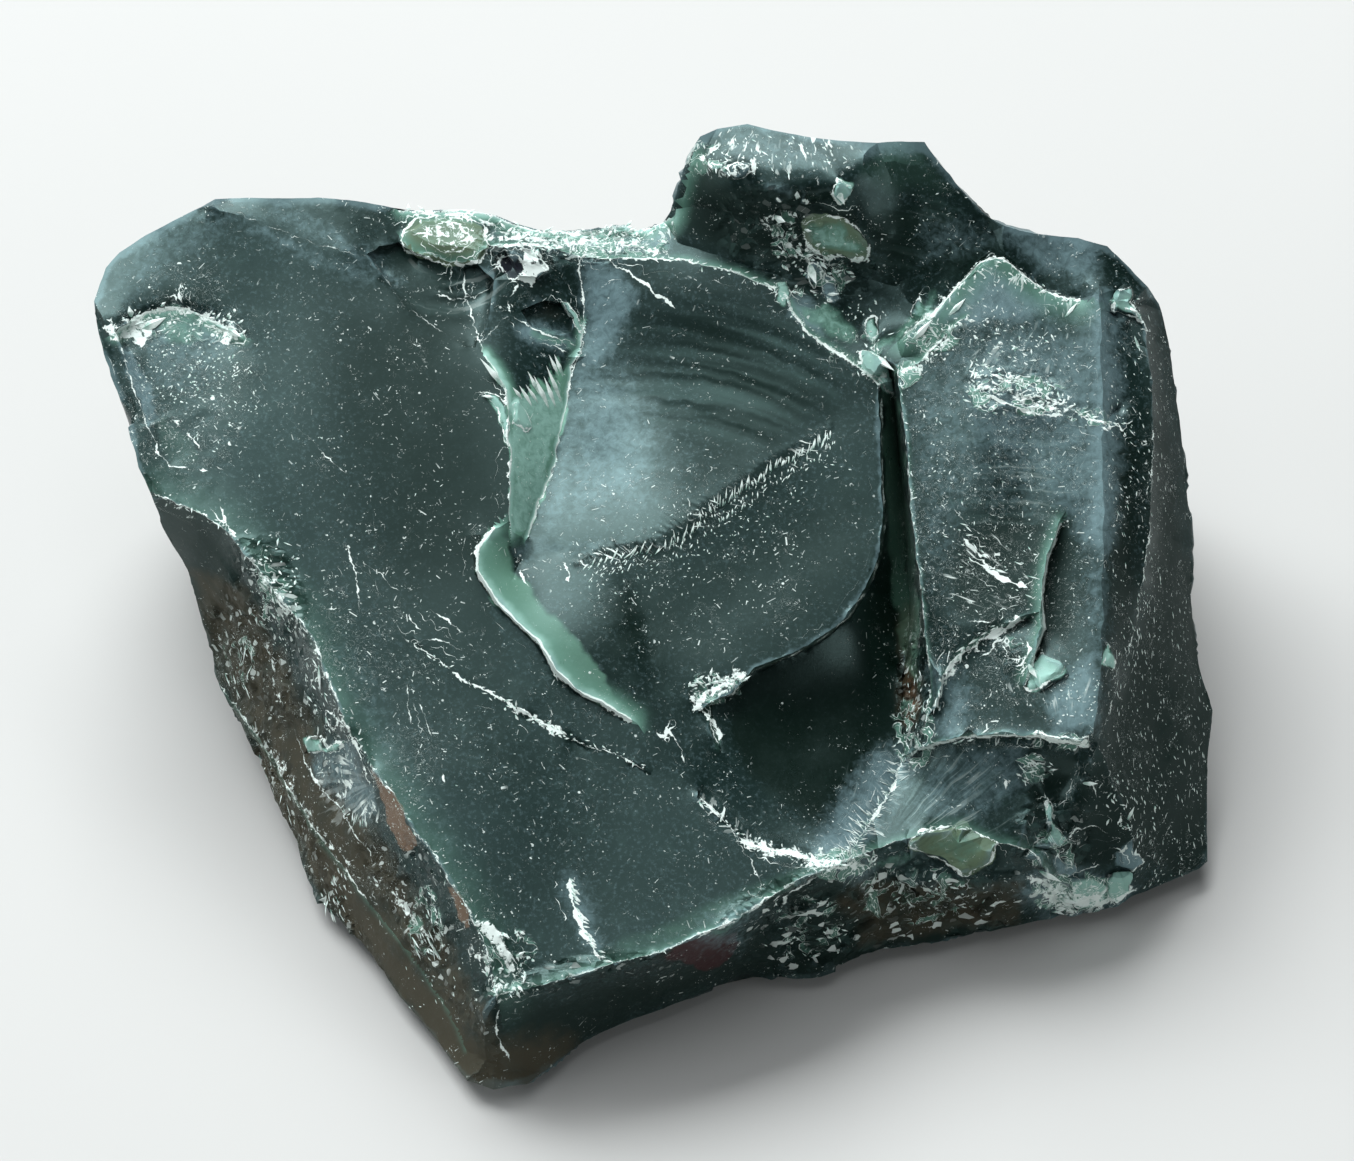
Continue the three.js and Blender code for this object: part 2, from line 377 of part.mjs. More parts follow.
// Smooth bumps between -1 and 1 with the given spacing.
function ripple(x, y, spacing) {
  const u = x / spacing;
  const v = y / spacing;
  const i = Math.floor(u);
  const j = Math.floor(v);
  const fu = THREE.MathUtils.smoothstep(u - i, 0, 1);
  const fv = THREE.MathUtils.smoothstep(v - j, 0, 1);
  const low = THREE.MathUtils.lerp(scatter(i, j), scatter(i + 1, j), fu);
  const high = THREE.MathUtils.lerp(scatter(i, j + 1), scatter(i + 1, j + 1), fu);
  return 2 * THREE.MathUtils.lerp(low, high, fv) - 1;
}

// One at the centre of an ellipse, falling smoothly to nothing at its edge.
function bell(x, y, [cx, cy, halfWidth, halfHeight]) {
  const d = Math.hypot((x - cx) / halfWidth, (y - cy) / halfHeight);
  return d >= 1 ? 0 : (1 - d * d) ** 2;
}

function inside(x, y, loop) {
  let odd = false;
  for (let i = 0, j = loop.length - 1; i < loop.length; j = i, i += 1) {
    const [xi, yi] = loop[i];
    const [xj, yj] = loop[j];
    const crosses = yi > y !== yj > y;
    if (crosses && x < ((xj - xi) * (y - yi)) / (yj - yi) + xi) odd = !odd;
  }
  return odd;
}

// Even samples along a polyline, every number of a spot interpolated.
function walk(spots, step, closed = false) {
  const out = [];
  const last = closed ? spots.length : spots.length - 1;
  for (let i = 0; i < last; i += 1) {
    const a = spots[i];
    const b = spots[(i + 1) % spots.length];
    const count = Math.max(1, Math.round(Math.hypot(b[0] - a[0], b[1] - a[1]) / step));
    for (let k = 0; k < count; k += 1) {
      out.push(a.map((value, n) => value + ((b[n] - value) * k) / count));
    }
  }
  if (!closed) out.push([...spots[spots.length - 1]]);
  return out;
}

// Moves each sample sideways along its line, positive to the left.
function shifted(samples, distance, closed = false) {
  const count = samples.length;
  return samples.map((spot, i) => {
    const before = samples[closed ? (i - 1 + count) % count : Math.max(0, i - 1)];
    const after = samples[closed ? (i + 1) % count : Math.min(count - 1, i + 1)];
    const dx = after[0] - before[0];
    const dy = after[1] - before[1];
    const length = Math.hypot(dx, dy) || 1;
    const moved = [...spot];
    moved[0] -= (dy / length) * distance;
    moved[1] += (dx / length) * distance;
    return moved;
  });
}

function turnsLeft(loop) {
  return loop.reduce((sum, [x, y], i) => {
    const [nx, ny] = loop[(i + 1) % loop.length];
    return sum + x * ny - nx * y;
  }, 0) > 0;
}

// Delaunay triangles of a list of spots, counter-clockwise.
function triangulate(spots) {
  const far = 4000;
  const all = [...spots, [-far, -far], [far, -far], [0, far]];
  const n = spots.length;
  const wheel = (a, b, c) => {
    const [ax, ay] = all[a];
    const bx = all[b][0] - ax;
    const by = all[b][1] - ay;
    const cx = all[c][0] - ax;
    const cy = all[c][1] - ay;
    const d = 2 * (bx * cy - by * cx);
    const ux = (cy * (bx * bx + by * by) - by * (cx * cx + cy * cy)) / d;
    const uy = (bx * (cx * cx + cy * cy) - cx * (bx * bx + by * by)) / d;
    return { corners: [a, b, c], x: ax + ux, y: ay + uy, r2: ux * ux + uy * uy };
  };
  let wheels = [wheel(n, n + 1, n + 2)];
  const order = spots.map((_, i) => i).sort((i, j) => spots[i][0] - spots[j][0]);
  const done = [];
  for (const i of order) {
    const [x, y] = spots[i];
    const edges = new Map();
    const open = [];
    for (const w of wheels) {
      const dx = x - w.x;
      if (dx > 0 && dx * dx > w.r2) {
        done.push(w);
        continue;
      }
      if (dx * dx + (y - w.y) ** 2 >= w.r2) {
        open.push(w);
        continue;
      }
      w.corners.forEach((a, k) => {
        const b = w.corners[(k + 1) % 3];
        const back = `${b},${a}`;
        if (edges.has(back)) edges.delete(back);
        else edges.set(`${a},${b}`, [a, b]);
      });
    }
    for (const [a, b] of edges.values()) open.push(wheel(a, b, i));
    wheels = open;
  }
  return [...done, ...wheels]
    .map((w) => w.corners)
    .filter((corners) => corners.every((corner) => corner < n));
}

// Edges used by one triangle only, as a map from start to end.
function openEdges(triangles) {
  const used = new Set(triangles.flatMap(([a, b, c]) => [`${a},${b}`, `${b},${c}`, `${c},${a}`]));
  const next = new Map();
  for (const key of used) {
    const [a, b] = key.split(',').map(Number);
    if (!used.has(`${b},${a}`)) next.set(a, b);
  }
  return next;
}

function followLoop(next, start) {
  const loop = [start];
  for (let v = next.get(start); v !== start; v = next.get(v)) loop.push(v);
  return loop;
}

// ------------------------------------------------------------ the broken face

// Board spot and rise to the part's own frame.
function place(x, y, rise) {
  const z = planeHeight(y) + rise;
  const depth = (y - z * Math.cos(ELEVATION)) / Math.sin(ELEVATION);
  return new THREE.Vector3(x, depth, z);
}

// Spots of the face: those with a rise are held, the rest settle like a film.
function layOutFace() {
  const outline = walk(standing(RIM), LINE_STEP, true);
  const held = [];
  const near = (list, x, y, reach) => list.some((s) => Math.hypot(s[0] - x, s[1] - y) < reach);
  const hold = (samples, reach) => {
    for (const [x, y, rise] of samples) {
      if (inside(x, y, RIM) && !near(held, x, y, reach) && !near(outline, x, y, 0.9)) {
        held.push([x, y, rise]);
      }
    }
  };
  for (const ledge of LEDGES) {
    const samples = walk(ledge, LINE_STEP);
    const left = shifted(samples, LEDGE_RUN / 2).map(([x, y, rise]) => [x, y, rise]);
    const right = shifted(samples, -LEDGE_RUN / 2).map(([x, y, , rise]) => [x, y, rise]);
    hold(left, 0.45);
    hold(right, 0.45);
  }
  for (const fold of [...FOLDS, ...STANDING_FOLDS.map(standing)]) {
    hold(walk(fold, LINE_STEP), 0.7);
  }

  const free = [];
  const clear = (x, y, reach) => inside(x, y, RIM) && !near(outline, x, y, 0.9)
    && !near(held, x, y, reach) && !near(free, x, y, reach);
  for (const plate of PLATES) {
    const samples = walk(plate, LINE_STEP * 0.8, true);
    const inward = turnsLeft(plate) ? PLATE_LIP / 2 : -PLATE_LIP / 2;
    const inner = shifted(samples, inward, true);
    const outer = shifted(samples, -inward, true);
    const pairs = samples.map((_, i) => [inner[i], outer[i]])
      .filter((pair) => pair.every(([x, y]) => clear(x, y, 0.7)));
    for (const pair of pairs) free.push(...pair.map(([x, y]) => [x, y]));
  }
  const lines = [...outline, ...held, ...free];
  const row = GRID_STEP * Math.sqrt(0.75);
  const rough = (x, y) => Math.max(...ROUGH_GROUND.map((patch) => patch[4] * bell(x, y, patch)));
  for (let j = -30; j * row < 75; j += 1) {
    for (let i = -30; i * GRID_STEP < 90; i += 1) {
      const loose = 0.18 + 0.3 * Math.min(1, rough(i * GRID_STEP, j * row) * 2);
      const x = (i + (j % 2) / 2 + (scatter(i, j) - 0.5) * loose) * GRID_STEP;
      const y = (j + (scatter(j, i) - 0.5) * loose) * row;
      if (inside(x, y, RIM) && !near(lines, x, y, CLEARANCE)) free.push([x, y]);
    }
  }
  return { outline, held, free, rough };
}

// Lets the free spots settle between the held ones, weighted by distance.
function relax(spots, rises, isFree, triangles) {
  const links = spots.map(() => new Map());
  for (const corners of triangles) {
    corners.forEach((a, k) => {
      const b = corners[(k + 1) % 3];
      const weight = 1 / Math.max(0.3, Math.hypot(spots[a][0] - spots[b][0], spots[a][1] - spots[b][1]));
      links[a].set(b, weight);
      links[b].set(a, weight);
    });
  }
  for (let round = 0; round < 700; round += 1) {
    for (let i = 0; i < spots.length; i += 1) {
      if (!isFree[i]) continue;
      let sum = 0;
      let total = 0;
      for (const [j, weight] of links[i]) {
        sum += rises[j] * weight;
        total += weight;
      }
      rises[i] += 1.6 * (sum / total - rises[i]);
    }
  }
}

// Lift of a flake or scar at a spot, blended from its corners.
function plateLift(x, y, plate) {
  if (!inside(x, y, plate)) return 0;
  let sum = 0;
  let total = 0;
  for (const [px, py, lift] of plate) {
    const weight = 1 / ((x - px) ** 2 + (y - py) ** 2 + 0.3);
    sum += lift * weight;
    total += weight;
  }
  return sum / total;
}

function buildFace() {
  const { outline, held, free, rough } = layOutFace();
  const spots = [...outline, ...held, ...free];
  const rises = spots.map((spot) => spot[2] ?? 0);
  const isFree = spots.map((_, i) => i >= outline.length + held.length);
  const edge = outline.map(([x, y]) => [x, y]);
  const triangles = triangulate(spots).filter((corners) => {
    const x = corners.reduce((sum, c) => sum + spots[c][0], 0) / 3;
    const y = corners.reduce((sum, c) => sum + spots[c][1], 0) / 3;
    return inside(x, y, edge);
  });
  relax(spots, rises, isFree, triangles);
  const points = spots.map(([x, y], i) => {
    let rise = rises[i];
    if (i >= outline.length) {
      for (const plate of PLATES) rise += plateLift(x, y, plate);
      for (const swell of SWELLS) rise += swell[4] * bell(x, y, swell);
      const grain = 0.65 * ripple(x, y, 5.2) + 0.55 * ripple(x + 40, y - 17, 2.7);
      const held2 = isFree[i] ? 1 : 0.45;
      rise += ROUGH_NEAR * (rough(x, y) * 1.3 + 0.05) * grain * held2;
    }
    return place(x, y, rise);
  });
  return { points, triangles };
}

// ------------------------------------------------------------ the hidden walls

// Where the ray from the foot's centre through a spot leaves the foot outline.
function footBelow(point) {
  const [cx, cy] = FOOT_CENTRE;
  const dx = point.x - cx;
  const dy = point.y - cy;
  for (let i = 0; i < FOOT.length; i += 1) {
    const [ax, ay] = FOOT[i];
    const [bx, by] = FOOT[(i + 1) % FOOT.length];
    const ex = bx - ax;
    const ey = by - ay;
    const cross = dx * ey - dy * ex;
    const t = ((ax - cx) * ey - (ay - cy) * ex) / cross;
    const s = ((ax - cx) * dy - (ay - cy) * dx) / cross;
    if (t > 0 && s >= 0 && s < 1) return new THREE.Vector3(cx + dx * t, cy + dy * t, 0);
  }
  return new THREE.Vector3(cx, cy, 0);
}

function addWalls({ points, triangles }) {
  const next = openEdges(triangles);
  const start = [...next.keys()].reduce((low, i) => (points[i].z + points[i].y * 0.05
    < points[low].z + points[low].y * 0.05 ? i : low));
  const loop = followLoop(next, start);
  const count = loop.length;
  const stations = [];
  let along = 0;
  for (let k = 0; k <= count; k += 1) {
    const top = points[loop[k % count]];
    if (k > 0) along += top.distanceTo(points[loop[k - 1]]);
    const foot = footBelow(top);
    stations.push({ along, top, foot, drop: Math.max(3, top.distanceTo(foot)) });
  }

  const spots = [
    ...stations.map((s) => [s.along, 0]),
    ...stations.map((s) => [s.along, -s.drop]),
  ];
  const edge = [
    ...stations.map((s) => [s.along, 0]),
    ...[...stations].reverse().map((s) => [s.along, -s.drop]),
  ];
  const fixed = spots.length;
  for (let j = 1; j < 20; j += 1) {
    for (let i = 0; i * WALL_STEP < along; i += 1) {
      const u = (i + (j % 2) / 2 + 0.4 * (scatter(i, j + 90) - 0.5)) * WALL_STEP;
      const v = -(j + 0.4 * (scatter(j + 50, i) - 0.5)) * WALL_STEP * 0.87;
      const clear = spots.every(([x, y], n) => n >= fixed || Math.hypot(x - u, y - v) > 3.6);
      if (inside(u, v, edge) && clear) spots.push([u, v]);
    }
  }

  const indexOf = spots.map((spot, n) => {
    if (n < stations.length) return loop[n % count];
    if (n < fixed) {
      const k = (n - stations.length) % count;
      if (n === fixed - 1) return null;
      points.push(stations[k].foot.clone());
      return points.length - 1;
    }
    const [u, v] = spot;
    const k = Math.max(1, stations.findIndex((s) => s.along >= u));
    const a = stations[k - 1];
    const b = stations[k];
    const share = (u - a.along) / (b.along - a.along);
    const top = a.top.clone().lerp(b.top, share);
    const foot = a.foot.clone().lerp(b.foot, share);
    const down = -v / THREE.MathUtils.lerp(a.drop, b.drop, share);
    const out = new THREE.Vector3(foot.x - FOOT_CENTRE[0], foot.y - FOOT_CENTRE[1], 0).normalize();
    const back = Math.max(0, out.y);
    const swell = BACK_BULGE * back * 4 * down * (1 - down);
    const grain = ROUGH_BACK * (0.25 + 0.75 * back) * (ripple(u, v * 1.3, 11) - 0.5 * (1 - back));
    points.push(top.lerp(foot, down).addScaledVector(out, swell + grain * Math.min(1, 3 * (1 - down))));
    return points.length - 1;
  });
  indexOf[fixed - 1] = indexOf[stations.length];

  for (const corners of triangulate(spots)) {
    const u = corners.reduce((sum, c) => sum + spots[c][0], 0) / 3;
    const v = corners.reduce((sum, c) => sum + spots[c][1], 0) / 3;
    if (!inside(u, v, edge)) continue;
    const [a, b, c] = corners.map((corner) => indexOf[corner]);
    triangles.push([a, b, c]);
  }
  return { points, triangles };
}

// Closes the flat sole on the table, facing down.
function addSole({ points, triangles }) {
  const next = openEdges(triangles);
  const loop = followLoop(next, [...next.keys()][0]);
  const outline = loop.map((i) => new THREE.Vector2(points[i].x, points[i].y));
  for (const [a, b, c] of THREE.ShapeUtils.triangulateShape(outline, [])) {
    const [p, q, r] = [a, b, c].map((corner) => outline[corner]);
    const facesUp = (q.x - p.x) * (r.y - p.y) > (q.y - p.y) * (r.x - p.x);
    triangles.push(facesUp ? [loop[a], loop[c], loop[b]] : [loop[a], loop[b], loop[c]]);
  }
  return { points, triangles };
}

// ---------------------------------------------------------------- solid and cuts

const wasm = await Module();
wasm.setup();

function solidFrom(points, triangles) {
  return new wasm.Manifold(new wasm.Mesh({
    numProp: 3,
    vertProperties: new Float32Array(points.flatMap((p) => [p.x, p.y, p.z])),
    triVerts: new Uint32Array(triangles.flat()),
  }));
}

function solidOf(geometry) {
  geometry.deleteAttribute('normal');
  geometry.deleteAttribute('uv');
  const merged = mergeVertices(geometry, 1e-4);
  return new wasm.Manifold(new wasm.Mesh({
    numProp: 3,
    vertProperties: new Float32Array(merged.attributes.position.array),
    triVerts: new Uint32Array(merged.index.array),
  }));
}

function facetCut({ at, azimuth, elevation }) {
  const size = 120;
  const box = new THREE.BoxGeometry(size, size, size);
  box.translate(size / 2, 0, 0);
  box.rotateY(-THREE.MathUtils.degToRad(elevation));
  box.rotateZ(THREE.MathUtils.degToRad(azimuth));
  box.translate(...at);
  return solidOf(box);
}

function scarCut({ at, radius }) {
  const ball = new THREE.IcosahedronGeometry(radius, 9);
  ball.translate(...at);
  return solidOf(ball);
}

function buildBlock() {
  const shell = addSole(addWalls(buildFace()));
  let block = solidFrom(shell.points, shell.triangles);
  for (const facet of BACK_FACETS) block = block.subtract(facetCut(facet));
  for (const scar of BACK_SCARS) block = block.subtract(scarCut(scar));
  return block;
}

function meshFrom(solid) {
  const { vertProperties, triVerts, numProp } = solid.getMesh();
  const position = new Float32Array((vertProperties.length / numProp) * 3);
  for (let i = 0; i < position.length / 3; i += 1) {
    position.set(vertProperties.subarray(i * numProp, i * numProp + 3), i * 3);
  }
  const geometry = new THREE.BufferGeometry();
  geometry.setAttribute('position', new THREE.BufferAttribute(position, 3));
  geometry.setIndex([...triVerts]);
  geometry.computeBoundingBox();
  const centre = geometry.boundingBox.getCenter(new THREE.Vector3());
  geometry.translate(-centre.x, -centre.y, -geometry.boundingBox.min.z);
  geometry.computeVertexNormals();
  return geometry;
}

const quartz = new THREE.Mesh(meshFrom(buildBlock()), new THREE.MeshStandardMaterial({
  color: 0x2e4540,
  roughness: 0.35,
  metalness: 0,
}));
quartz.name = 'green_quartz';

const part = new THREE.Group();
part.name = 'raw_green_quartz';
part.add(quartz);

export default part;
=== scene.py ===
"""Raw green quartz: one broken block, with its shell scars, bruises, chips and stains.

The block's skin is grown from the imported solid. Its small relief and its
colours are laid out on the same tilted drawing board as the solid: x across
and y up the board, in millimetres, seen along a line of sight 50 degrees high.
"""

import math
from functools import partial

import bpy
import numpy as np
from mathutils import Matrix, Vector
from mathutils.bvhtree import BVHTree


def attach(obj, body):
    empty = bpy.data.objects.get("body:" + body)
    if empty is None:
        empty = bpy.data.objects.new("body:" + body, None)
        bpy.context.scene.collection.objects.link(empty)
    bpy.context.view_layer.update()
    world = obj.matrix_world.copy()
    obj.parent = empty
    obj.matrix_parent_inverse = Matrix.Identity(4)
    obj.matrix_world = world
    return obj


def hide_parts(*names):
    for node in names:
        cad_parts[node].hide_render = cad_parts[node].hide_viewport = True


bl_info = {
    "name": "Raw green quartz",
    "version": (1, 0, 0),
    "blender": (4, 5, 0),
    "location": "View3D > Sidebar > Quartz",
    "description": "Builds a broken block of raw green quartz on its packed solid",
    "category": "Object",
}

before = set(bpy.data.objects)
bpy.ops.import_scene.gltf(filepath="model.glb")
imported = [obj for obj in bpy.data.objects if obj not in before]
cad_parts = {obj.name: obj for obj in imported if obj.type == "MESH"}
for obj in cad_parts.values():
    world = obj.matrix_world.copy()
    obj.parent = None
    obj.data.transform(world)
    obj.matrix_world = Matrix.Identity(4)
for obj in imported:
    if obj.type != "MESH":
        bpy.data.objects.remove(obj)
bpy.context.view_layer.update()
SOLID = "green_quartz"

# ---- drawing board

MM = 0.001
LOOK = math.radians(50)  # elevation of the board's line of sight
BOARD_SHIFT = (0.450, -27.873)  # from the centred block to the board's origin, mm
TO_VIEWER = np.array([0.0, -math.cos(LOOK), math.sin(LOOK)])


def on_board(points):
    """Board x and y of points given in millimetres."""
    y = (points[:, 1] + BOARD_SHIFT[1]) * math.sin(LOOK) + points[:, 2] * math.cos(LOOK)
    return points[:, 0] + BOARD_SHIFT[0], y


# ---- break lines


def xy(*numbers):
    """Points from their x and y in turn, in millimetres on the board."""
    return list(zip(numbers[::2], numbers[1::2]))


LEFT_RIDGE = xy(
    -74.6, 16.2, -67.2, 13, -63.5, 10.6, -59.8, 6.1, -57, 2.4, -53.4, -2.1, -50.4, -5.5, -49.2, -9.5, -47.9, -12.3,
    -46.2, -16.4, -45.2, -19.2, -43.2, -21.9, -41.3, -25.4, -38.3, -28.8, -35.3, -34.4, -31.8, -38.3, -28.8, -43.2,
    -25.8, -48.3, -23.8, -54, -22.8, -58.8
)
NEAR_RIDGE = xy(
    -22.8, -58.8, -17.9, -57.9, -11.7, -56.1, -6, -54.3, 1.5, -52.4, 7.2, -50.1, 10.8, -48.4, 17, -44.9, 24.8, -40.5,
    29.3, -39
)
TOP_RIM = xy(
    -37.5, 58.6, -34, 58.5, -28, 58.7, -24, 58, -20, 56.5, -16, 55.5, -13, 55, -9, 55.5, -4, 56.3, 0, 55.8, 3, 57.6
)
SCOOP_BEVEL = xy(
    -24, 53.5, -18, 53.3, -13, 52.5, -10.6, 51.6, -6, 51.6, 2, 51.3, 6, 51, 10, 50, 14, 48.8, 18, 47, 20, 46
)
SCOOP_EDGE = xy(20, 46, 21.5, 43, 23.5, 40, 26, 38.5, 29, 36.5, 31, 35, 33, 33.6, 34.4, 32.2)
COMB_LINE = xy(-11, 6.2, -4.8, 8.4, 0.9, 8.9, 5.3, 11.9, 8.6, 15.2, 13.4, 18.2, 18, 21.5, 22, 23.5, 26, 26.2)
SHEET_ARC = xy(
    34.6, 31, 34.8, 25, 34.9, 19.4, 35.3, 12.2, 34.6, 6.5, 33, 2.6, 29.7, -2.7, 26, -5.6, 21.2, -8.4, 15.8, -10.4,
    12.3, -14.1, 8.9, -15.6, 9.1, -18.8, 10.2, -22.2
)
FEATHER_EDGE = xy(
    -23.7, 10.7, -26, 8.2, -26.1, 4.2, -23.7, 0.3, -20.1, -3.5, -16.4, -6.9, -14.4, -10.7, -11.1, -13.8, -7.7, -15.5,
    -3.2, -18.1
)
CREVICE_EDGE = xy(
    37.1, 35, 37.6, 30, 38.5, 23.2, 39.1, 14.5, 39.9, 7.4, 40.5, 3.9, 40.8, 0.3, 41.2, -5, 41.8, -10, 41.8, -15,
    41.2, -20
)
PANE_RIM = xy(
    38, 39.6, 40, 41.6, 42.5, 42.9, 45, 46, 47, 48, 49, 50.3, 51, 51.5, 53, 51.5, 55, 50, 57, 48.3, 59, 46.8,
    61, 45.8, 64.6, 45.2
)
PANE_STRIPE = xy(67.6, 46, 67.9, 26, 67.9, 6, 67.3, -12, 66.2, -19.6)
PANE_FAR_EDGE = xy(
    73.2, 45.5, 74.4, 40, 75.3, 33, 75.6, 26, 75.3, 17, 74.8, 9, 73.5, 0, 72.3, -6, 70.2, -12.4, 68.2, -18, 65.8, -24,
    62.4, -30.4
)
SCAR_EDGE = xy(61.6, 11.4, 59.8, 6.6, 58.7, 0.9, 59.1, -4.2, 57.7, -7.8, 56.6, -11.4)
ARCH_EDGE = xy(56.2, -2.8, 51, -4.8, 47.2, -7.2, 44, -11.4, 43, -16)
PANE_FOOT = xy(38.6, -23.4, 41.1, -22.1, 46.2, -20.7, 51.9, -20.3, 58.6, -20.4, 64.4, -21.2)
BRUISE_LINE = xy(38, -23.4, 36.5, -27.9, 33.3, -32.6, 30.3, -37.2, 29.3, -39)
FAN_EDGE = xy(
    29.3, -39, 34, -37, 38.6, -35.7, 43.7, -34, 48, -34.2, 51.9, -36.2, 55.2, -36.6, 58, -38.4, 59.7, -41.4, 60.2, -45
)
BAND_RIDGE = xy(
    -65.2, -12.2, -62, -16.5, -57.5, -23, -53, -30.5, -49.5, -35.5, -46, -40, -42, -45.4, -37.5, -51, -33, -56.6,
    -29.8, -62, -27.4, -67
)
BAND_STEP = xy(
    -58, -6, -56, -12, -54.5, -17, -52.6, -21, -51.4, -25, -49.5, -28, -46, -32, -42.5, -37.5, -38, -43, -34, -48.5,
    -30.4, -54, -27.4, -59
)
SECOND_RIDGE = xy(37, 34, 39, 35, 41, 36, 43, 38.5, 45.5, 41, 47.5, 42.5)
SCAR_TOP = xy(-80.2, 40.4, -77, 42.5, -74.5, 43.8, -70, 44, -67.5, 42.8, -65, 41.6, -61.6, 40)
CLAM_LIP = xy(-24.4, 53.8, -26.2, 51.2, -30, 50.8, -35, 52.4, -37.4, 54.4)
RISER_TOP = xy(-24.8, 36.5, -22, 32, -21.5, 30, -21, 22, -21, 18, -21.2, 14, -21, 9.7)
RISER_FOOT = xy(-9.6, 41.5, -10.5, 38, -11.8, 35, -12, 32, -13, 28, -14, 21, -15, 18.5, -16.5, 15, -18.3, 9.7)


# ---- rough ground

# Broken, splintery ground: board x, y, half-width, half-height, strength.
ROUGH_GROUND = [
    (-60, -4, 9, 14, 1), (-54, -28, 9, 16, 1.1), (-40, -50, 12, 16, 1.1), (-28, -64, 8, 9, 0.8),
    (-70, 26, 8, 14, 0.1), (0, -58, 22, 6, 0.8), (24, -50, 14, 9, 1.3), (44, -45, 14, 8, 1.3), (60, -37, 7, 8, 0.8),
    (78, -20, 10, 30, 0.4), (78.5, 18, 5, 26, 0.3), (18, 56, 9, 7, 0.6), (26, 49, 9, 4, 0.7), (-14, 54, 14, 4, 0.8),
    (39.5, -14, 2.5, 10, 1), (55, 31, 8, 4, 0.5), (62, -44, 10, 4, 0.6),
]

# Smooth ground with fine ripples, which needs a finer skin than its shape does.
RIPPLED_GROUND = [(5, 33, 20, 17), (50, 24, 13, 22), (46, 54, 17, 8), (-31, 45, 9, 9)]

# Ground where the solid's plain creases melt away: board x, y, half-width, half-height.
MELTED = [
    (13.6, 65, 3, 3), (29.2, 61.2, 2.4, 2.4), (33, 42.4, 6.6, 5), (-33, 44, 9, 7.6), (19, 62.2, 9, 2.4),
    (-19.8, -55.4, 4.4, 4), (55.6, 31, 10, 5.4), (-70, 29, 8, 9), (-15, 6.8, 7.6, 3.6), (-62, 36.4, 3, 4),
    (27.4, 54.8, 7.4, 4.4), (60, -27.4, 5, 4.6), (66, -36.8, 5, 3.8), (41, -46.8, 7, 3.2), (-77, 32, 3, 7),
    (-71.4, 41.8, 8, 2.6), (-15, -19, 6, 3.4), (-6, -23, 5, 3), (-46.6, -27.6, 6, 8), (33.6, -44, 3.4, 2.8),
    (24.4, -53.4, 3, 2.4), (29.6, -46, 2.4, 2.4), (70.4, 36, 2.6, 9), (-31, -9.4, 5, 4), (-24, -13.6, 5, 3.6),
    (49, -7.4, 6.4, 6),
]

# White flecks: board x, y, half-width, half-height, share of the flecks shown.
DUST = [
    (52, 12, 16, 34, 1.05), (24, -16, 12, 12, 0.12), (8, 8, 22, 16, 0.7), (2, 34, 18, 14, 0.4),
    (-45, 20, 26, 28, 0.5), (-30, -36, 14, 24, 0.6), (30, 60, 26, 8, 0.6), (74, 14, 6, 40, 1),
    (-70, 34, 12, 18, 1.05), (78, -20, 11, 30, 1), (-14, 54, 16, 4, 1.2), (-50, -24, 20, 30, 0.9),
]

# ---- brush work

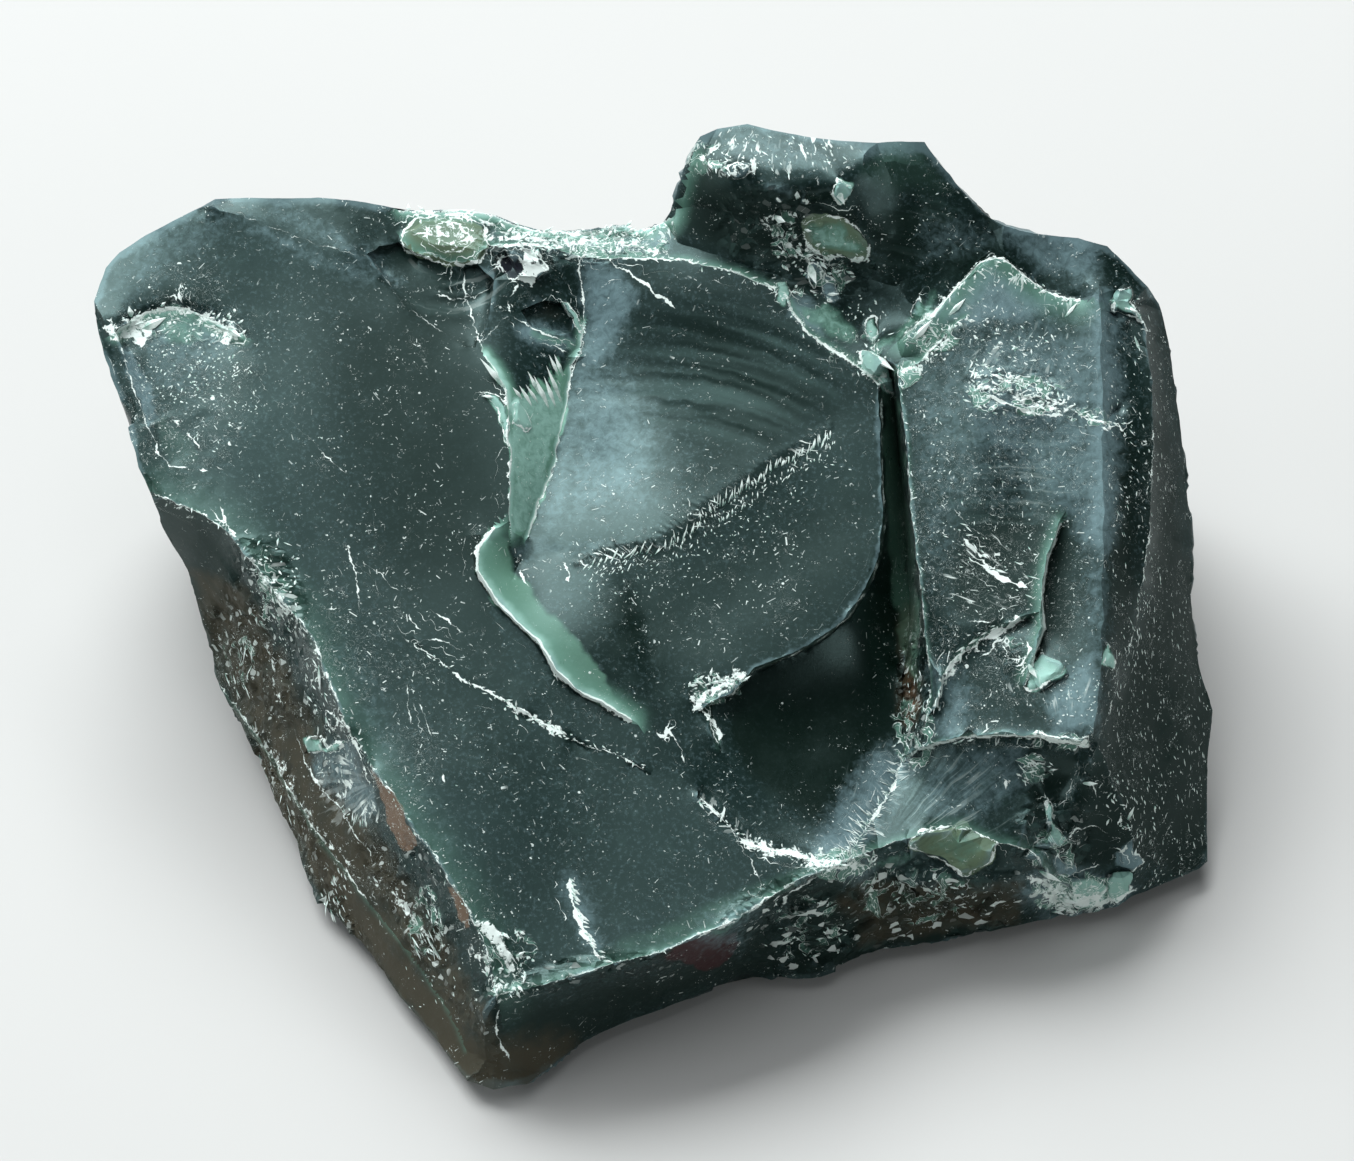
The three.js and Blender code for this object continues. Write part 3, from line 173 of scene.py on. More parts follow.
# Flakes, shards and plates with their own outline: fill, softness in mm, strength,
# half-width of the bright rim, lift off the skin and outline on the board.
CHIPS = [
    ("olive", 0.5, 1, 0.34, 0, xy(-37.6, 54.3, -37.1, 55.7, -35.2, 57.4, -31.8, 58.1, -28, 57.9, -25.1, 56.2,
        -24.2, 53.1, -25.5, 51.1, -28.4, 50.3, -31.3, 50.6, -34.7, 51.6, -36.9, 52.6)),
    ("pit", 0.3, 1, 0.2, 0, xy(-22.9, 50.5, -22.3, 51.8, -20.2, 51.8, -19, 50.3, -19.4, 48.7, -20.5, 48.2,
        -21.6, 49)),
    ("white", 0.3, 1.15, 0.2, 0, xy(-19, 52.3, -16.6, 52.5, -16.3, 51.1, -15.2, 49.5, -16.6, 48.9, -17.6, 47.5,
        -18.2, 47.9, -19.8, 48.1, -19.1, 49.4, -18.9, 50.6)),
    ("pale", 0.3, 1.3, 0.16, 0, xy(-13.8, 45.4, -12.2, 44.6, -10.8, 42.8, -9.8, 40.6, -10.4, 40, -11.4, 42,
        -12.8, 43.8)),
    ("pale", 0.3, 1.3, 0.14, 0.4, xy(-20.7, 29.2, -19.6, 30, -18.4, 28, -17.9, 26, -18.8, 25.6, -20.3, 26.8)),
    ("pale", 0.4, 1, 0.16, 0.5, xy(-25.1, 31.1, -22.3, 30.1, -21.3, 28.6, -20.9, 25.6, -21.4, 23, -22, 25.6,
        -22.8, 28.4)),
    ("jade", 0.25, 0.95, 0, 0, xy(-24.8, 36.8, -24.2, 34.8, -22.8, 32.8, -21.3, 30.2, -21.1, 20, -21.1, 9, -18, 9.9,
        -16.2, 15.6, -14.2, 21.4, -12.9, 27.5, -12, 32.8, -12, 36.2, -13.2, 33.8, -13.9, 36.8, -14.2, 32.6,
        -15.2, 35.2, -15.4, 31.2, -16.9, 33.8, -16.8, 30.6, -17.9, 34.2, -18, 30.4, -19.4, 32.3, -19.4, 30.6, -21, 32,
        -22.4, 34.4)),
    ("pale", 1, 0.95, 0, 0, xy(-21.2, 31, -21.2, 9, -18, 9.9, -16.2, 15.6, -14.2, 21.4, -12.6, 29, -12.2, 35.4,
        -14, 32, -17, 31)),
    ("jade", 0.6, 0.6, 0, 0, FEATHER_EDGE + xy(-5.6, -13.5, -6.3, -11.8, -9.1, -8.3, -11.1, -5.2, -13.2, -3.1,
        -17.7, 1.7, -19.6, 3.8, -20.4, 6.5, -20.8, 9)),
    # The ledge below the riser, its shaded wall lightened with painted light.
    ("haze_and_sheen", 0.7, 0.35, 0, 0, xy(-21, 9, -17.9, 10, -15, 9.1, -11.5, 8.9, -6.6, 9.3, -5, 8, -11.5, 6.2, -16.7, 5.8,
        -20, 5)),
    ("olive", 0.8, 0.9, 0, 0.5, xy(22.4, 56.7, 24.4, 57.9, 26.6, 57.8, 29.3, 57.2, 31.1, 56, 32.8, 53.9, 33.1, 52.2,
        32.1, 51, 30, 51.4, 28.7, 51.7, 26.9, 51, 25.2, 51.9, 23.8, 52.6, 23.1, 54.6)),
    ("olive", 0.5, 1, 0.26, 0, xy(38.6, -36.8, 40.5, -34.5, 44.5, -34, 46.8, -33.5, 51.9, -36.3, 50.9, -39.3,
        47.3, -41, 43.7, -38.9)),
    ("pale", 1.2, 0.62, 0, 0, xy(40, -36.6, 42, -35, 46.8, -34.4, 50.6, -36.5, 49.6, -38.8, 46.6, -40, 43.7, -38.2)),
    ("white", 0.4, 0.75, 0.2, 0.5, xy(11.9, 65.3, 13.5, 65.8, 14.9, 65.3, 15.5, 64.3, 14.3, 63.4, 12.8, 63.1,
        12.1, 64.3)),
    ("pale", 0.3, 1.3, 0.26, 0.7, xy(27.4, 60.8, 28, 63.4, 30.2, 62, 30, 60.8, 28.8, 59.5)),
    ("pale", 0.4, 1.5, 0.26, 0.8, xy(31.4, 37.4, 33.1, 37.4, 34.9, 36, 35.9, 33.9, 36.6, 30.8, 35.6, 31.5, 34.2, 33.2,
        32.1, 34.3)),
    ("pale", 0.4, 1.3, 0.2, 0.5, xy(58.5, -8.1, 61.2, -9.2, 62, -9.9, 61.2, -11.1, 59.7, -12.3, 58.5, -13.2,
        57, -13.7, 56.4, -13.2, 56.4, -11.7, 57, -10.2)),
    ("pale", 0.3, 1.4, 0.2, 0.5, xy(67.8, -9, 68.7, -6.6, 69.4, -8.7, 69.3, -10, 68.9, -10.7, 67.9, -10.2)),
    ("pale", 0.4, 1.1, 0.2, 0.6, xy(68.9, 44.7, 70.3, 46.6, 72.2, 47, 72.6, 45.7, 72.2, 44.7, 73.6, 42.6, 74.7, 40.6,
        72.6, 42.4, 70.3, 43.3)),
    ("white", 0.3, 1.3, 0, 0.9, xy(69.2, 43.9, 70, 44.6, 70.4, 43.4, 69.7, 42.9)),
    ("white", 0.3, 1.3, 0, 0.9, xy(71.7, 43.6, 72.9, 43.2, 72.6, 42.2)),
    ("pale", 0.5, 1.1, 0.2, 0.6, xy(-51.6, -21.2, -50.6, -20.4, -49, -20.9, -48.2, -21.8, -46.6, -21.2, -45.4, -21.2,
        -46.6, -22.6, -49.1, -22.9, -51, -23)),
    ("white", 0.5, 0.7, 0.14, 0.4, xy(-48.9, -16.5, -47.2, -16.9, -46.7, -18, -47.4, -19.8, -48.7, -19.2,
        -48.4, -18)),
    ("white", 0.6, 1.05, 0, 0, xy(-79.7, 40.4, -78.3, 41.6, -74.1, 43.2, -73.8, 41.9, -74.3, 40.4, -75.1, 38.8,
        -76.9, 37.8, -78.2, 39.1, -79.9, 38.8)),
    ("white", 0.5, 0.75, 0, 0, xy(-82.5, 42.6, -80.6, 42.4, -79.6, 40, -80, 38.4, -81.4, 38.6, -82.6, 40.5)),
    ("white", 0.4, 0.9, 0.24, 0.3, xy(-67.2, 42.2, -64.7, 42, -62.4, 41.6, -61.3, 40.4, -60.8, 39.3, -61.3, 38.6,
        -63.6, 38.6, -64.7, 39.1, -64.1, 39.8, -64.9, 40.6)),
    ("pale", 0.8, 0.7, 0, 0, xy(-74.4, 43.4, -70, 43.8, -67, 42.4, -66.4, 40, -69, 38, -73, 38)),
    ("haze_and_sheen", 0.5, 0.75, 0, 0, xy(-79.7, 38.6, -77.7, 37, -76.4, 34.5, -74.9, 31.7, -74.3, 29.1, -74.3, 26.8,
        -74.9, 25.1, -76.1, 27.9, -77, 30.2, -77.9, 32.7, -79.1, 35.8)),
    ("jade", 0.8, 0.3, 0, 0, xy(-74.1, 29.1, -72, 27, -70.5, 25.5, -69, 24, -67.4, 22.5, -67, 20.8, -69.2, 19.9,
        -71.8, 20.5, -73.8, 22.7, -74.2, 26)),
    ("pale", 0.3, 1.2, 0.2, 0.7, xy(59.1, -29.2, 60.4, -31.2, 60.2, -33.5, 62.2, -35.5, 61, -36.8, 59.4, -36.5,
        59.9, -34.8, 59.4, -32.8)),
    ("haze_and_sheen", 0.4, 1.1, 0.16, 0.4, xy(60.4, -39.4, 61.2, -38.1, 61.8, -39.2, 63.7, -39.4, 63.7, -40.8, 62.7, -41.7,
        61, -40.9)),
    ("haze_and_sheen", 0.3, 1.2, 0.18, 0.6, xy(70.6, -37.8, 72.3, -35.6, 72.6, -37.8, 74.1, -39.1, 72.3, -40.4, 70.6, -40.1)),
    ("pale", 0.4, 1.25, 0.2, 0.8, xy(68.3, -42.1, 69.3, -41.1, 71.9, -40.9, 72.2, -41.6, 71.6, -44, 70, -45.7,
        68.6, -44.7)),
    ("pale", 0.8, 1.2, 0, 0.3, xy(62.7, -41.9, 65.4, -41.4, 68.3, -42.4, 68.6, -44.9, 66, -46.4, 63, -46)),
    ("white", 0.9, 0.95, 0, 0, xy(59, -42.2, 61, -42.9, 63.6, -43.4, 64.6, -46, 63, -47.4, 60.6, -46.4, 59.2, -44.4)),
    ("white", 0.3, 1.1, 0.16, 0.5, xy(58.2, -19.8, 61, -20.2, 64, -20.8, 65.7, -20.2, 65.4, -21.8, 64, -22.2,
        62.1, -21.5, 58.9, -20.7)),
    ("garnet", 0.8, 1, 0, 0, xy(2.3, -52.9, 6.2, -50.8, 9.6, -49.6, 12.6, -49.6, 13.5, -51.4, 11.3, -54, 8.3, -55.7,
        6.2, -54.8)),
    ("rust", 0.5, 0.95, 0, 0, xy(-41.4, -25.1, -40.7, -26.4, -39.9, -27.4, -38.4, -28.5, -37.5, -30.2, -36.9, -31.9,
        -36, -33.6, -34.7, -35.1, -34.5, -36.4, -35.4, -37.3, -36.6, -37.7, -37.5, -36.4, -38.1, -34.9, -39, -32.8,
        -39.9, -31.7, -40.1, -30.2)),
    ("rust", 0.5, 0.8, 0, 0, xy(-30, -42.4, -28, -44, -26.5, -47, -26.3, -48.9, -27.6, -49, -28.8, -46)),
    ("white", 0.4, 1, 0, 0.4, xy(-25.6, -48.2, -24.2, -47.6, -22, -50, -20.4, -53, -19.6, -55.4, -21.4, -54.6,
        -23.4, -51.6)),
    ("haze_and_sheen", 0.4, 1.2, 0.14, 0.4, xy(23.8, 50.5, 25.2, 50.6, 25.6, 48.6, 24.6, 47.2, 23.6, 48.4)),
    ("haze_and_sheen", 0.4, 1.2, 0.14, 0.4, xy(25.9, 49.4, 27.6, 48.2, 28.6, 45.4, 27.4, 45, 26, 46.4)),
    ("white", 0.3, 0.9, 0, 0.4, xy(18.3, 60.2, 19.4, 60.8, 20.7, 60.3, 19.6, 59.9)),
    ("white", 0.3, 0.9, 0, 0.5, xy(22.3, 59.6, 22.9, 61.4, 23.8, 59.6)),
    ("white", 0.4, 0.75, 0, 0.3, xy(17.3, 58, 18.6, 58.4, 20, 57.8, 18.8, 57.2, 18.4, 56.2, 17.7, 56.4)),
    ("pale", 0.5, 1, 0.16, 0.4, xy(32.6, 42.4, 33.6, 42.6, 34.2, 40.4, 33.2, 39.2, 32.2, 40.6)),
    ("pale", 0.5, 1.1, 0.16, 0.4, xy(18.8, 47.4, 20.6, 47.8, 21.4, 45.8, 20.4, 44.4, 18.8, 45.2)),
    ("pale", 0.5, 0.9, 0.16, 0.7, xy(38.8, 42.4, 40.4, 45.4, 41.4, 43.8, 43.6, 44.2, 42, 42.2)),
]

# Colours painted on the skin. A further one, calm, only keeps the ground below it smooth.
# The dark colour is mostly painted shade and dark reflection; the haze is milky quartz and painted sheen.
PAINTED = ("white", "pale", "haze_and_sheen", "dark_and_shade", "earth", "rust", "olive", "garnet", "pit", "jade", "dull")

# Each colour's strokes are (half-width in mm, strength, path on the board) and
# its patches are (softness in mm, strength, outline on the board).
STROKES = {
    "white": [
        (0.9, 0.8, SCAR_TOP), (0.8, 0.7, xy(-60, 6, -57, 2, -54.5, -1.5, -50.4, -6.5, -49.4, -9)),
        (0.8, 0.75, xy(-59, -20, -55, -26, -53, -30, -50, -34, -45, -40, -40, -42, -35, -49, -31, -52)),
        (0.9, 0.8, xy(-26, -52, -24, -56, -22.5, -60)), (0.8, 0.9, xy(-25, -48.4, -22.4, -51, -20, -54)),
        (1, 0.9, xy(-24, 55, -18, 54, -13, 53.6, -8, 54, -2, 54, 2, 52.5)), (0.7, 0.7, SCOOP_EDGE),
        (0.6, 0.9, xy(-21, -16, -17, -18, -12, -20)), (0.8, 1, xy(15, -36, 18, -37.5, 22, -37.8, 24.5, -38.5)),
        (0.7, 0.9, xy(24, -38.4, 27, -39.2, 31, -39.4)), (0.6, 0.7, PANE_RIM), (0.8, 0.7, SECOND_RIDGE),
        (0.9, 0.8, xy(47.5, 33, 50, 31.5, 53, 32, 56, 30, 60, 29, 64, 28)), (0.7, 0.8, ARCH_EDGE),
        (0.9, 1, xy(57, -42, 62, -44, 68, -45.4, 72, -43.6)), (0.9, 0.8, xy(7, 67, 9, 65, 11, 64)),
        (0.8, 0.8, xy(16.5, 57.5, 20, 54, 22.5, 51)), (0.7, 0.7, xy(24, 47, 27, 46, 29, 45)),
        (0.7, 0.9, xy(-46.9, -29.4, -45.6, -27.8, -44.4, -27.2)),
        (0.9, 1, xy(6.8, -15.6, 8.6, -13.6, 11, -12.2, 13.4, -11)),
        (0.5, 0.9, xy(23.1, 54.8, 23.6, 52.8, 26.9, 51.1, 30, 51.5, 32.4, 51.2, 33.1, 53)),
    ],
    "pale": [
        (1, 0.8, xy(-22, 55.5, -16, 54.4, -10, 54, -4, 54.6, 2, 53)),
        (0.9, 0.7, xy(9, -49.5, 14, -46.5, 19, -43.6, 25, -40.4)), (0.8, 0.6, xy(8, -15, 9, -19, 10, -22)),
        (0.8, 0.7, xy(39, -38, 36, -38.8, 31, -40)), (1, 0.8, xy(34, 38.6, 37, 39, 40, 42.4, 42.4, 45.4)),
        (0.7, 0.6, xy(-58, 7, -54, 0, -50, -8)), (1.5, 0.5, xy(-15, -7, -11.6, -11, -7.5, -15)),
        (0.9, 0.8, xy(-17.2, 40.2, -15, 39.4, -12.8, 38.7, -11, 37.2)),
    ],
    # Milky, bruised quartz, and painted sheen where bevels, ledges and the pane's stripe face the light.
    "haze_and_sheen": [
        (2.8, 1, xy(35.6, -25, 32.6, -29.6, 29.8, -34, 27.4, -37.2)), (2.2, 0.7, xy(29, -38.5, 31, -40)),
        (2, 0.6, xy(12.5, -50.5, 8, -50, 15, -46)), (2.5, 0.6, xy(-72, 42, -64, 40)), (3, 0.6, xy(-22, 55, -4, 54)),
        (2.6, 0.8, xy(58, -43.5, 70, -44)), (1.6, 0.6, xy(-12, -42, -8, -52)),
        (2.4, 0.6, xy(-9, 36, -11, 28, -13, 20, -15, 13)), (2.4, 0.9, xy(68, 44, 68, 26, 67, 10)),
        (1.6, 0.5, xy(66.8, 6, 66.2, -12, 65, -19.6)), (1.8, 0.4, xy(41.5, 30, 42, 18, 42.2, 8)),
        (2.2, 0.7, xy(44, -12, 46, -15, 45, -19)), (1.2, 0.9, xy(-18.4, 40.6, -15, 39.2, -12.8, 38.5)),
        (1.2, 0.5, xy(-56, 59, -48, 55, -42, 51, -38, 48)), (0.9, 0.5, xy(-60, 56, -50, 51.6, -42, 48)),
    ],
    # Painted shade in two small pits and under the hump's crest and ledge.
    "dark_and_shade": [
        (0.9, 1, xy(-72.3, 46.5, -71.9, 46.1)), (0.8, 0.9, xy(-68, 46.3, -67.3, 46)),
        (1.4, 0.7, xy(18.4, 59.6, 22, 59, 27, 58.6, 31, 57.6)), (1.2, 0.7, xy(14, 61.4, 20, 60.6, 27, 60.8)),
    ],
    "earth": [
        (4, 0.8, xy(-58, -24, -50, -38, -42, -50, -34, -60, -26, -69, -14, -68)),
        (1.5, 0.8, xy(38.6, -2, 38.8, -10, 38.8, -18)), (3, 0.6, xy(30, -46, 40, -47, 52, -47)),
    ],
    "rust": [(1, 0.5, xy(38.8, -12, 38.6, -19))],
    "dull": [(1.6, 1, PANE_STRIPE)],
}
# Painted glow of thin, translucent edges on one side, and a painted highlight rim on the lit edge:
# (side, reach in mm, strength, rim, path).
# The side is 1 to the left of the way the path runs and -1 to its right.
LIT_EDGES = [
    (1, 4.6, 1.15, 1.8, FEATHER_EDGE), (1, 2.6, 1.25, 0.8, RISER_TOP), (-1, 1.8, 1.25, 0.8, RISER_FOOT),
    (-1, 2.6, 1.1, 0.8, TOP_RIM), (1, 1.8, 0.7, 0.7, SCOOP_BEVEL), (1, 2, 0.7, 0.9, SCOOP_EDGE),
    (-1, 6, 0.7, 0.7, PANE_RIM), (1, 0.9, 0.5, 0.3, CREVICE_EDGE), (-1, 2.8, 0.85, 0.9, SCAR_EDGE),
    (-1, 1.2, 0.5, 0.6, ARCH_EDGE), (1, 3, 0.55, 0.7, NEAR_RIDGE), (1, 9, 0.34, 0.45, LEFT_RIDGE),
    (1, 1.2, 0.7, 0.8, PANE_FOOT), (1, 2.4, 0.5, 0.6, FAN_EDGE), (-1, 0.8, 0.3, 0.5, SHEET_ARC),
    (-1, 2.8, 1.1, 1, SCAR_TOP), (-1, 2, 0.8, 0.7, CLAM_LIP), (1, 1.6, 0.9, 0.7, SECOND_RIDGE),
    (-1, 3.2, 0.9, 0.5, xy(3.4, 57, 4.4, 60, 5.2, 63, 6.4, 67.2)), (-1, 1, 0.4, 0.5, BAND_RIDGE),
]
# Painted shade: ground darkened towards an edge on one side, laid out in the same way.
SHADED_EDGES = [
    (-1, 34, 0.95, 0, xy(-30, 48, -26.5, 41, -24.8, 36.5, -21.5, 30, -21, 18, -21, 9.7, -23.7, 10.7, -26.1, 5,
        -24.6, 1)),
    (1, 3.6, 0.9, 0, SCAR_EDGE),
]

PATCHES = {
    "white": [
        (1.4, 0.66, xy(-18, 55, -12, 54, -8, 54.6, -4, 55.4, -2, 53, -8, 52, -15, 52.8)),
        (1, 0.78, xy(-33.4, 56.6, -30, 57.2, -27.4, 56.2, -26.8, 54, -28.6, 52.8, -31, 52.6, -33.2, 53.8)),
        (1, 0.6, xy(-41, -29.4, -43.6, -29.6, -46, -31.6, -44.8, -33.6, -42.6, -34.4, -41, -33.6)),
    ],
    # Milky, clouded quartz, and painted sheen of the lights on the pane, the scoop, the hump's top, the rim and the
    # left cheek.
    "haze_and_sheen": [
        (4, 0.42, xy(38, 34, 43, 39, 52, 48, 64, 43, 66, 20, 64, 12, 48, 14, 42, 0, 39, 20)),
        (5, 0.42, xy(-84, 44, -78, 56, -62, 61, -58, 57, -70, 50, -78, 44)),
        (2, 0.4, xy(8, 69, 16, 71, 28, 69, 26, 64, 14, 65)),
        (4, 0.22, xy(-8, 40, -12, 24, -15, 12, -6, 11, 4, 14, 8, 22, 0, 34)),
        (2, 0.55, xy(39, -31, 43, -22, 57, -21, 57, -28, 50, -33, 42, -33)),
        (3, 0.7, xy(52, 56, 58, 49, 68, 47, 67, 57, 58, 61)), (3, 0.45, xy(40, 50, 48, 51, 54, 54, 48, 58, 40, 58)),
        (2.4, 0.8, xy(-10.4, 52, -4, 50, -2, 44, -6, 36, -11, 32, -10, 42)),
        (1.2, 0.95, xy(20.4, 45.6, 24.5, 45.8, 26, 43, 25.6, 39.6, 23, 40.6, 21, 43)),
        (1.6, 0.9, xy(39, 41, 45, 45, 51, 50.6, 57, 47, 64, 44.6, 56, 42, 46, 41)),
        (1.6, 0.9, xy(-20, 56, -8, 56, 2, 56, 3, 53, -8, 52, -20, 53)),
        (3, 0.6, xy(47, 36, 52, 42, 67, 40, 67, 3, 62, 12, 54, 20, 47, 24)),
        (2.6, 0.42, xy(-78, 41, -70, 44, -62, 40, -64, 34, -70, 30, -76, 32)),
        (1.2, 0.7, xy(-51.2, -21, -44.5, -21, -42, -27, -40.5, -31, -42.5, -34.5, -47, -30.5, -50.5, -26)),
        (6, 0.66, xy(-11, 34, -14, 18, -12, 12, 0, 14, 2, 24, -4, 36)),
        (3, 0.3, xy(-50, -4, -46, -12, -42, -22, -36, -30, -30, -39, -28, -36, -36, -22, -42, -6)),
        (2, 0.85, xy(62, -10, 67, -8, 67, -19, 60, -20, 59, -15)),
    ],
    # Mostly painted shade and dark reflection in the bowl, crevice, hollows and on faces turned from the light; on
    # the left band, the stone's own dark rind.
    "dark_and_shade": [
        (3, 1, xy(10, -12, 20, -9.4, 29, -4, 34, 2, 36.4, 8, 38.4, -4, 38.2, -20, 33, -30, 24, -33, 14, -26)),
        (2, 1, xy(7, 64, 12, 61.6, 17, 61, 30, 58, 34, 53, 22, 50, 12, 52, 5, 56, 4, 61)),
        (3, 0.8, xy(31, 60, 42, 60, 52, 54, 56, 50, 48, 48, 38, 49, 33, 53)),
        (2.5, 0.95, xy(49, 11, 55, 12.4, 60, 9.6, 59, 5, 58, 0.6, 56, -1.6, 51, -3.6, 46, -2, 45, 4, 46, 8)),
        (0.8, 0.8, xy(61.9, 10.6, 60.5, 8, 59.8, 4, 59.2, 0, 59.4, -3, 59.6, -6.4, 62.4, -8, 63, -4, 63.4, 2,
            63.2, 8)),
        (2.4, 0.4, xy(47.6, -10, 52, -9, 56, -14, 60, -14, 63, -17, 58, -19.4, 48, -19, 45, -15)),
        (3, 0.8, xy(-21, -61, 4, -54.5, 18, -47, 20, -55, 0, -61, -19, -72)),
        (2, 0.8, xy(69, 24, 73, 24, 72.6, -8, 69, -14)),
        (3, 1, xy(75.6, 40, 80, 10, 86, -16, 86, -44, 62, -34, 70, -12, 75, 0)),
        (8, 0.6, xy(-46, 44, -30, 44, -25, 34, -22, 20, -26, 4, -36, 2, -44, 20, -50, 36)),
        (7, 0.66, xy(4, 44, 12, 42, 24, 36, 30, 28, 18, 21, 10, 17, 6, 28)),
        (6, 0.62, xy(-10, 2, 10, 8, 32, 20, 34, 6, 24, -6, 8, -12, -6, -10)),
        (1, 0.9, xy(57.4, -22.8, 63.6, -22.8, 62.6, -27.2, 60.4, -30, 58.2, -28.5)),
        (0.6, 1, xy(55.6, -27.6, 58.9, -28.2, 58.9, -32.2, 56.7, -32.5)),
        (1.5, 0.9, xy(62, -37, 66, -34.8, 70, -36, 70, -39.6, 64, -39.4)),
        (2, 0.7, xy(-62, 38, -58, 34, -60, 30, -66, 24, -64, 34)),
        (2, 0.9, xy(-53, -18.5, -49.5, -23, -50.5, -28, -46, -34, -42, -39, -45, -46, -54, -30, -58, -19)),
        (2.4, 0.7, xy(-75, 18, -66, 12.6, -60, 4, -54, -10, -62, -12, -70, -4, -76, 8)),
        (2, 0.85, xy(20, -42, 30, -41, 44, -42, 58, -44, 56, -52, 22, -58)),
        (1.2, 0.4, xy(-50.6, -23.6, -45, -22.6, -43, -26.4, -45.8, -27.4, -48, -28.6, -50, -27)),
        (2, 0.6, xy(-58, 61.4, -41, 61, -38, 57, -44, 54.6, -54, 57.4)),
        (1.2, 0.9, xy(-25, -61, -22.4, -60.4, -21, -66, -23.4, -68)),
    ],
    "earth": [
        (1.5, 0.4, xy(-19.4, 43.4, -16, 45.4, -13, 44.8, -11, 42, -12, 40, -15, 40, -18.6, 41)),
        (1.4, 0.3, xy(24.5, 45.6, 27, 45.4, 29.3, 43.2, 31.8, 40.1, 31.4, 37.8, 26, 39, 23, 42)),
        (3, 0.62, xy(-70, 6, -60, 3, -52, -12, -46, -24, -36, -40, -26, -56, -18, -72, -28, -74, -44, -52, -60, -24,
            -68, -8)),
        (2, 0.55, xy(30, -41, 57, -41, 56, -49, 30, -53)),
        (3.4, 0.95, xy(-42, -58, -32, -61, -26, -68, -20, -70, -12, -67, -3, -64, 0, -72, -20, -82, -40, -76)),
    ],
    "olive": [(0.8, 0.34, xy(-17, 43.6, -14, 44.8, -11.4, 43, -11, 41, -14, 39.8, -16.4, 41))],
    "jade": [
        (3, 0.3, xy(29, 63, 33, 67.5, 36, 72, 40, 71, 44, 66, 48, 60, 36, 60)),
        (2.5, 0.45, xy(-18, -56.4, -8, -53.4, 4, -50.6, 16, -44, 26, -39.6, 16, -41.6, 2, -48, -14, -54)),
        (0.5, 0.5, xy(35, 34, 36.8, 35, 38.2, 24, 38.9, 14, 39.6, 6, 40.4, 0, 40.8, -8, 40, -14, 37.6, -8, 36.3, 2,
            35.2, 12, 34.9, 24)),
    ],
    "pale": [
        (1.4, 0.85, xy(22, 44.6, 27, 45.2, 31, 41, 31.4, 38, 26, 39.4, 23, 41.6)),
        (1, 0.85, xy(22.8, 56.4, 29, 57, 32.4, 53, 29, 52, 24, 53)),
        (1.4, 0.95, xy(25, 52.6, 28, 52.4, 31, 52, 32.4, 52.8, 31.6, 54.8, 28.6, 56, 25, 55.4)),
    ],
    "dull": [
        (2, 0.9, xy(4, 62, 12, 60.6, 30, 57, 34, 53, 22, 50, 12, 51, 5, 55)),
        (7, 1, xy(-2, 50, 20, 46, 34, 33, 27, 26, 16, 20, 6, 14, 2, 24, -2, 34)),
        (8, 0.9, xy(-50, 46, -30, 46, -23, 34, -20, 20, -22, 4, -36, -2, -46, 6, -52, 26)),
        (3, 1, xy(-24, -61, 4, -55, 20, -46, 30, -41, 44, -41, 58, -44, 62, -54, 40, -60, 0, -68, -19, -76)),
        (3, 1, xy(76, 44, 80, 46, 88, 10, 92, -46, 66, -50, 64, -34, 70, -14, 75, 2, 76, 20)),
        (2, 0.9, xy(45, 12, 56, 13, 63, 11, 63.6, -8, 58, -4, 50, -5, 44, -2)),
        (2, 0.9, xy(46, -9, 57, -14, 62, -14, 63, -19, 45, -19)),
        (4, 0.9, xy(-68, 14, -60, 2, -50, -14, -40, -34, -26, -56, -20, -78, -34, -74, -56, -40, -72, 0)),
    ],
    "calm": [
        (1.6, 1, xy(-53, -18.5, -49.5, -23, -50.5, -28, -46, -34, -42, -39, -38.5, -47, -34.5, -54, -29, -60,
            -24, -67.5, -27.5, -74, -32.5, -66.5, -38.5, -58.5, -41.5, -54, -44.5, -47.5, -49, -37, -54, -27,
            -58, -19)),
        (2, 0.9, xy(-75, 18, -66, 12.6, -62, 7, -63.6, 0, -70, -4, -76, 8)),
        (2, 0.95, xy(69, 50, 80, 48, 88, 10, 92, -46, 68, -50, 66, -30, 70, -14, 72, 2, 69, 20)),
        (2, 0.8, xy(-22, -60, 2, -55, 18, -48, 18, -56, 0, -62, -19, -72)),
        (1.6, 0.9, xy(37, -34, 54, -33, 54, -41, 37, -39.6)),
        (1.2, 0.8, xy(-37, -38, -29.5, -43, -29, -48.5, -31.5, -46, -35.5, -41.5)),
    ],
}

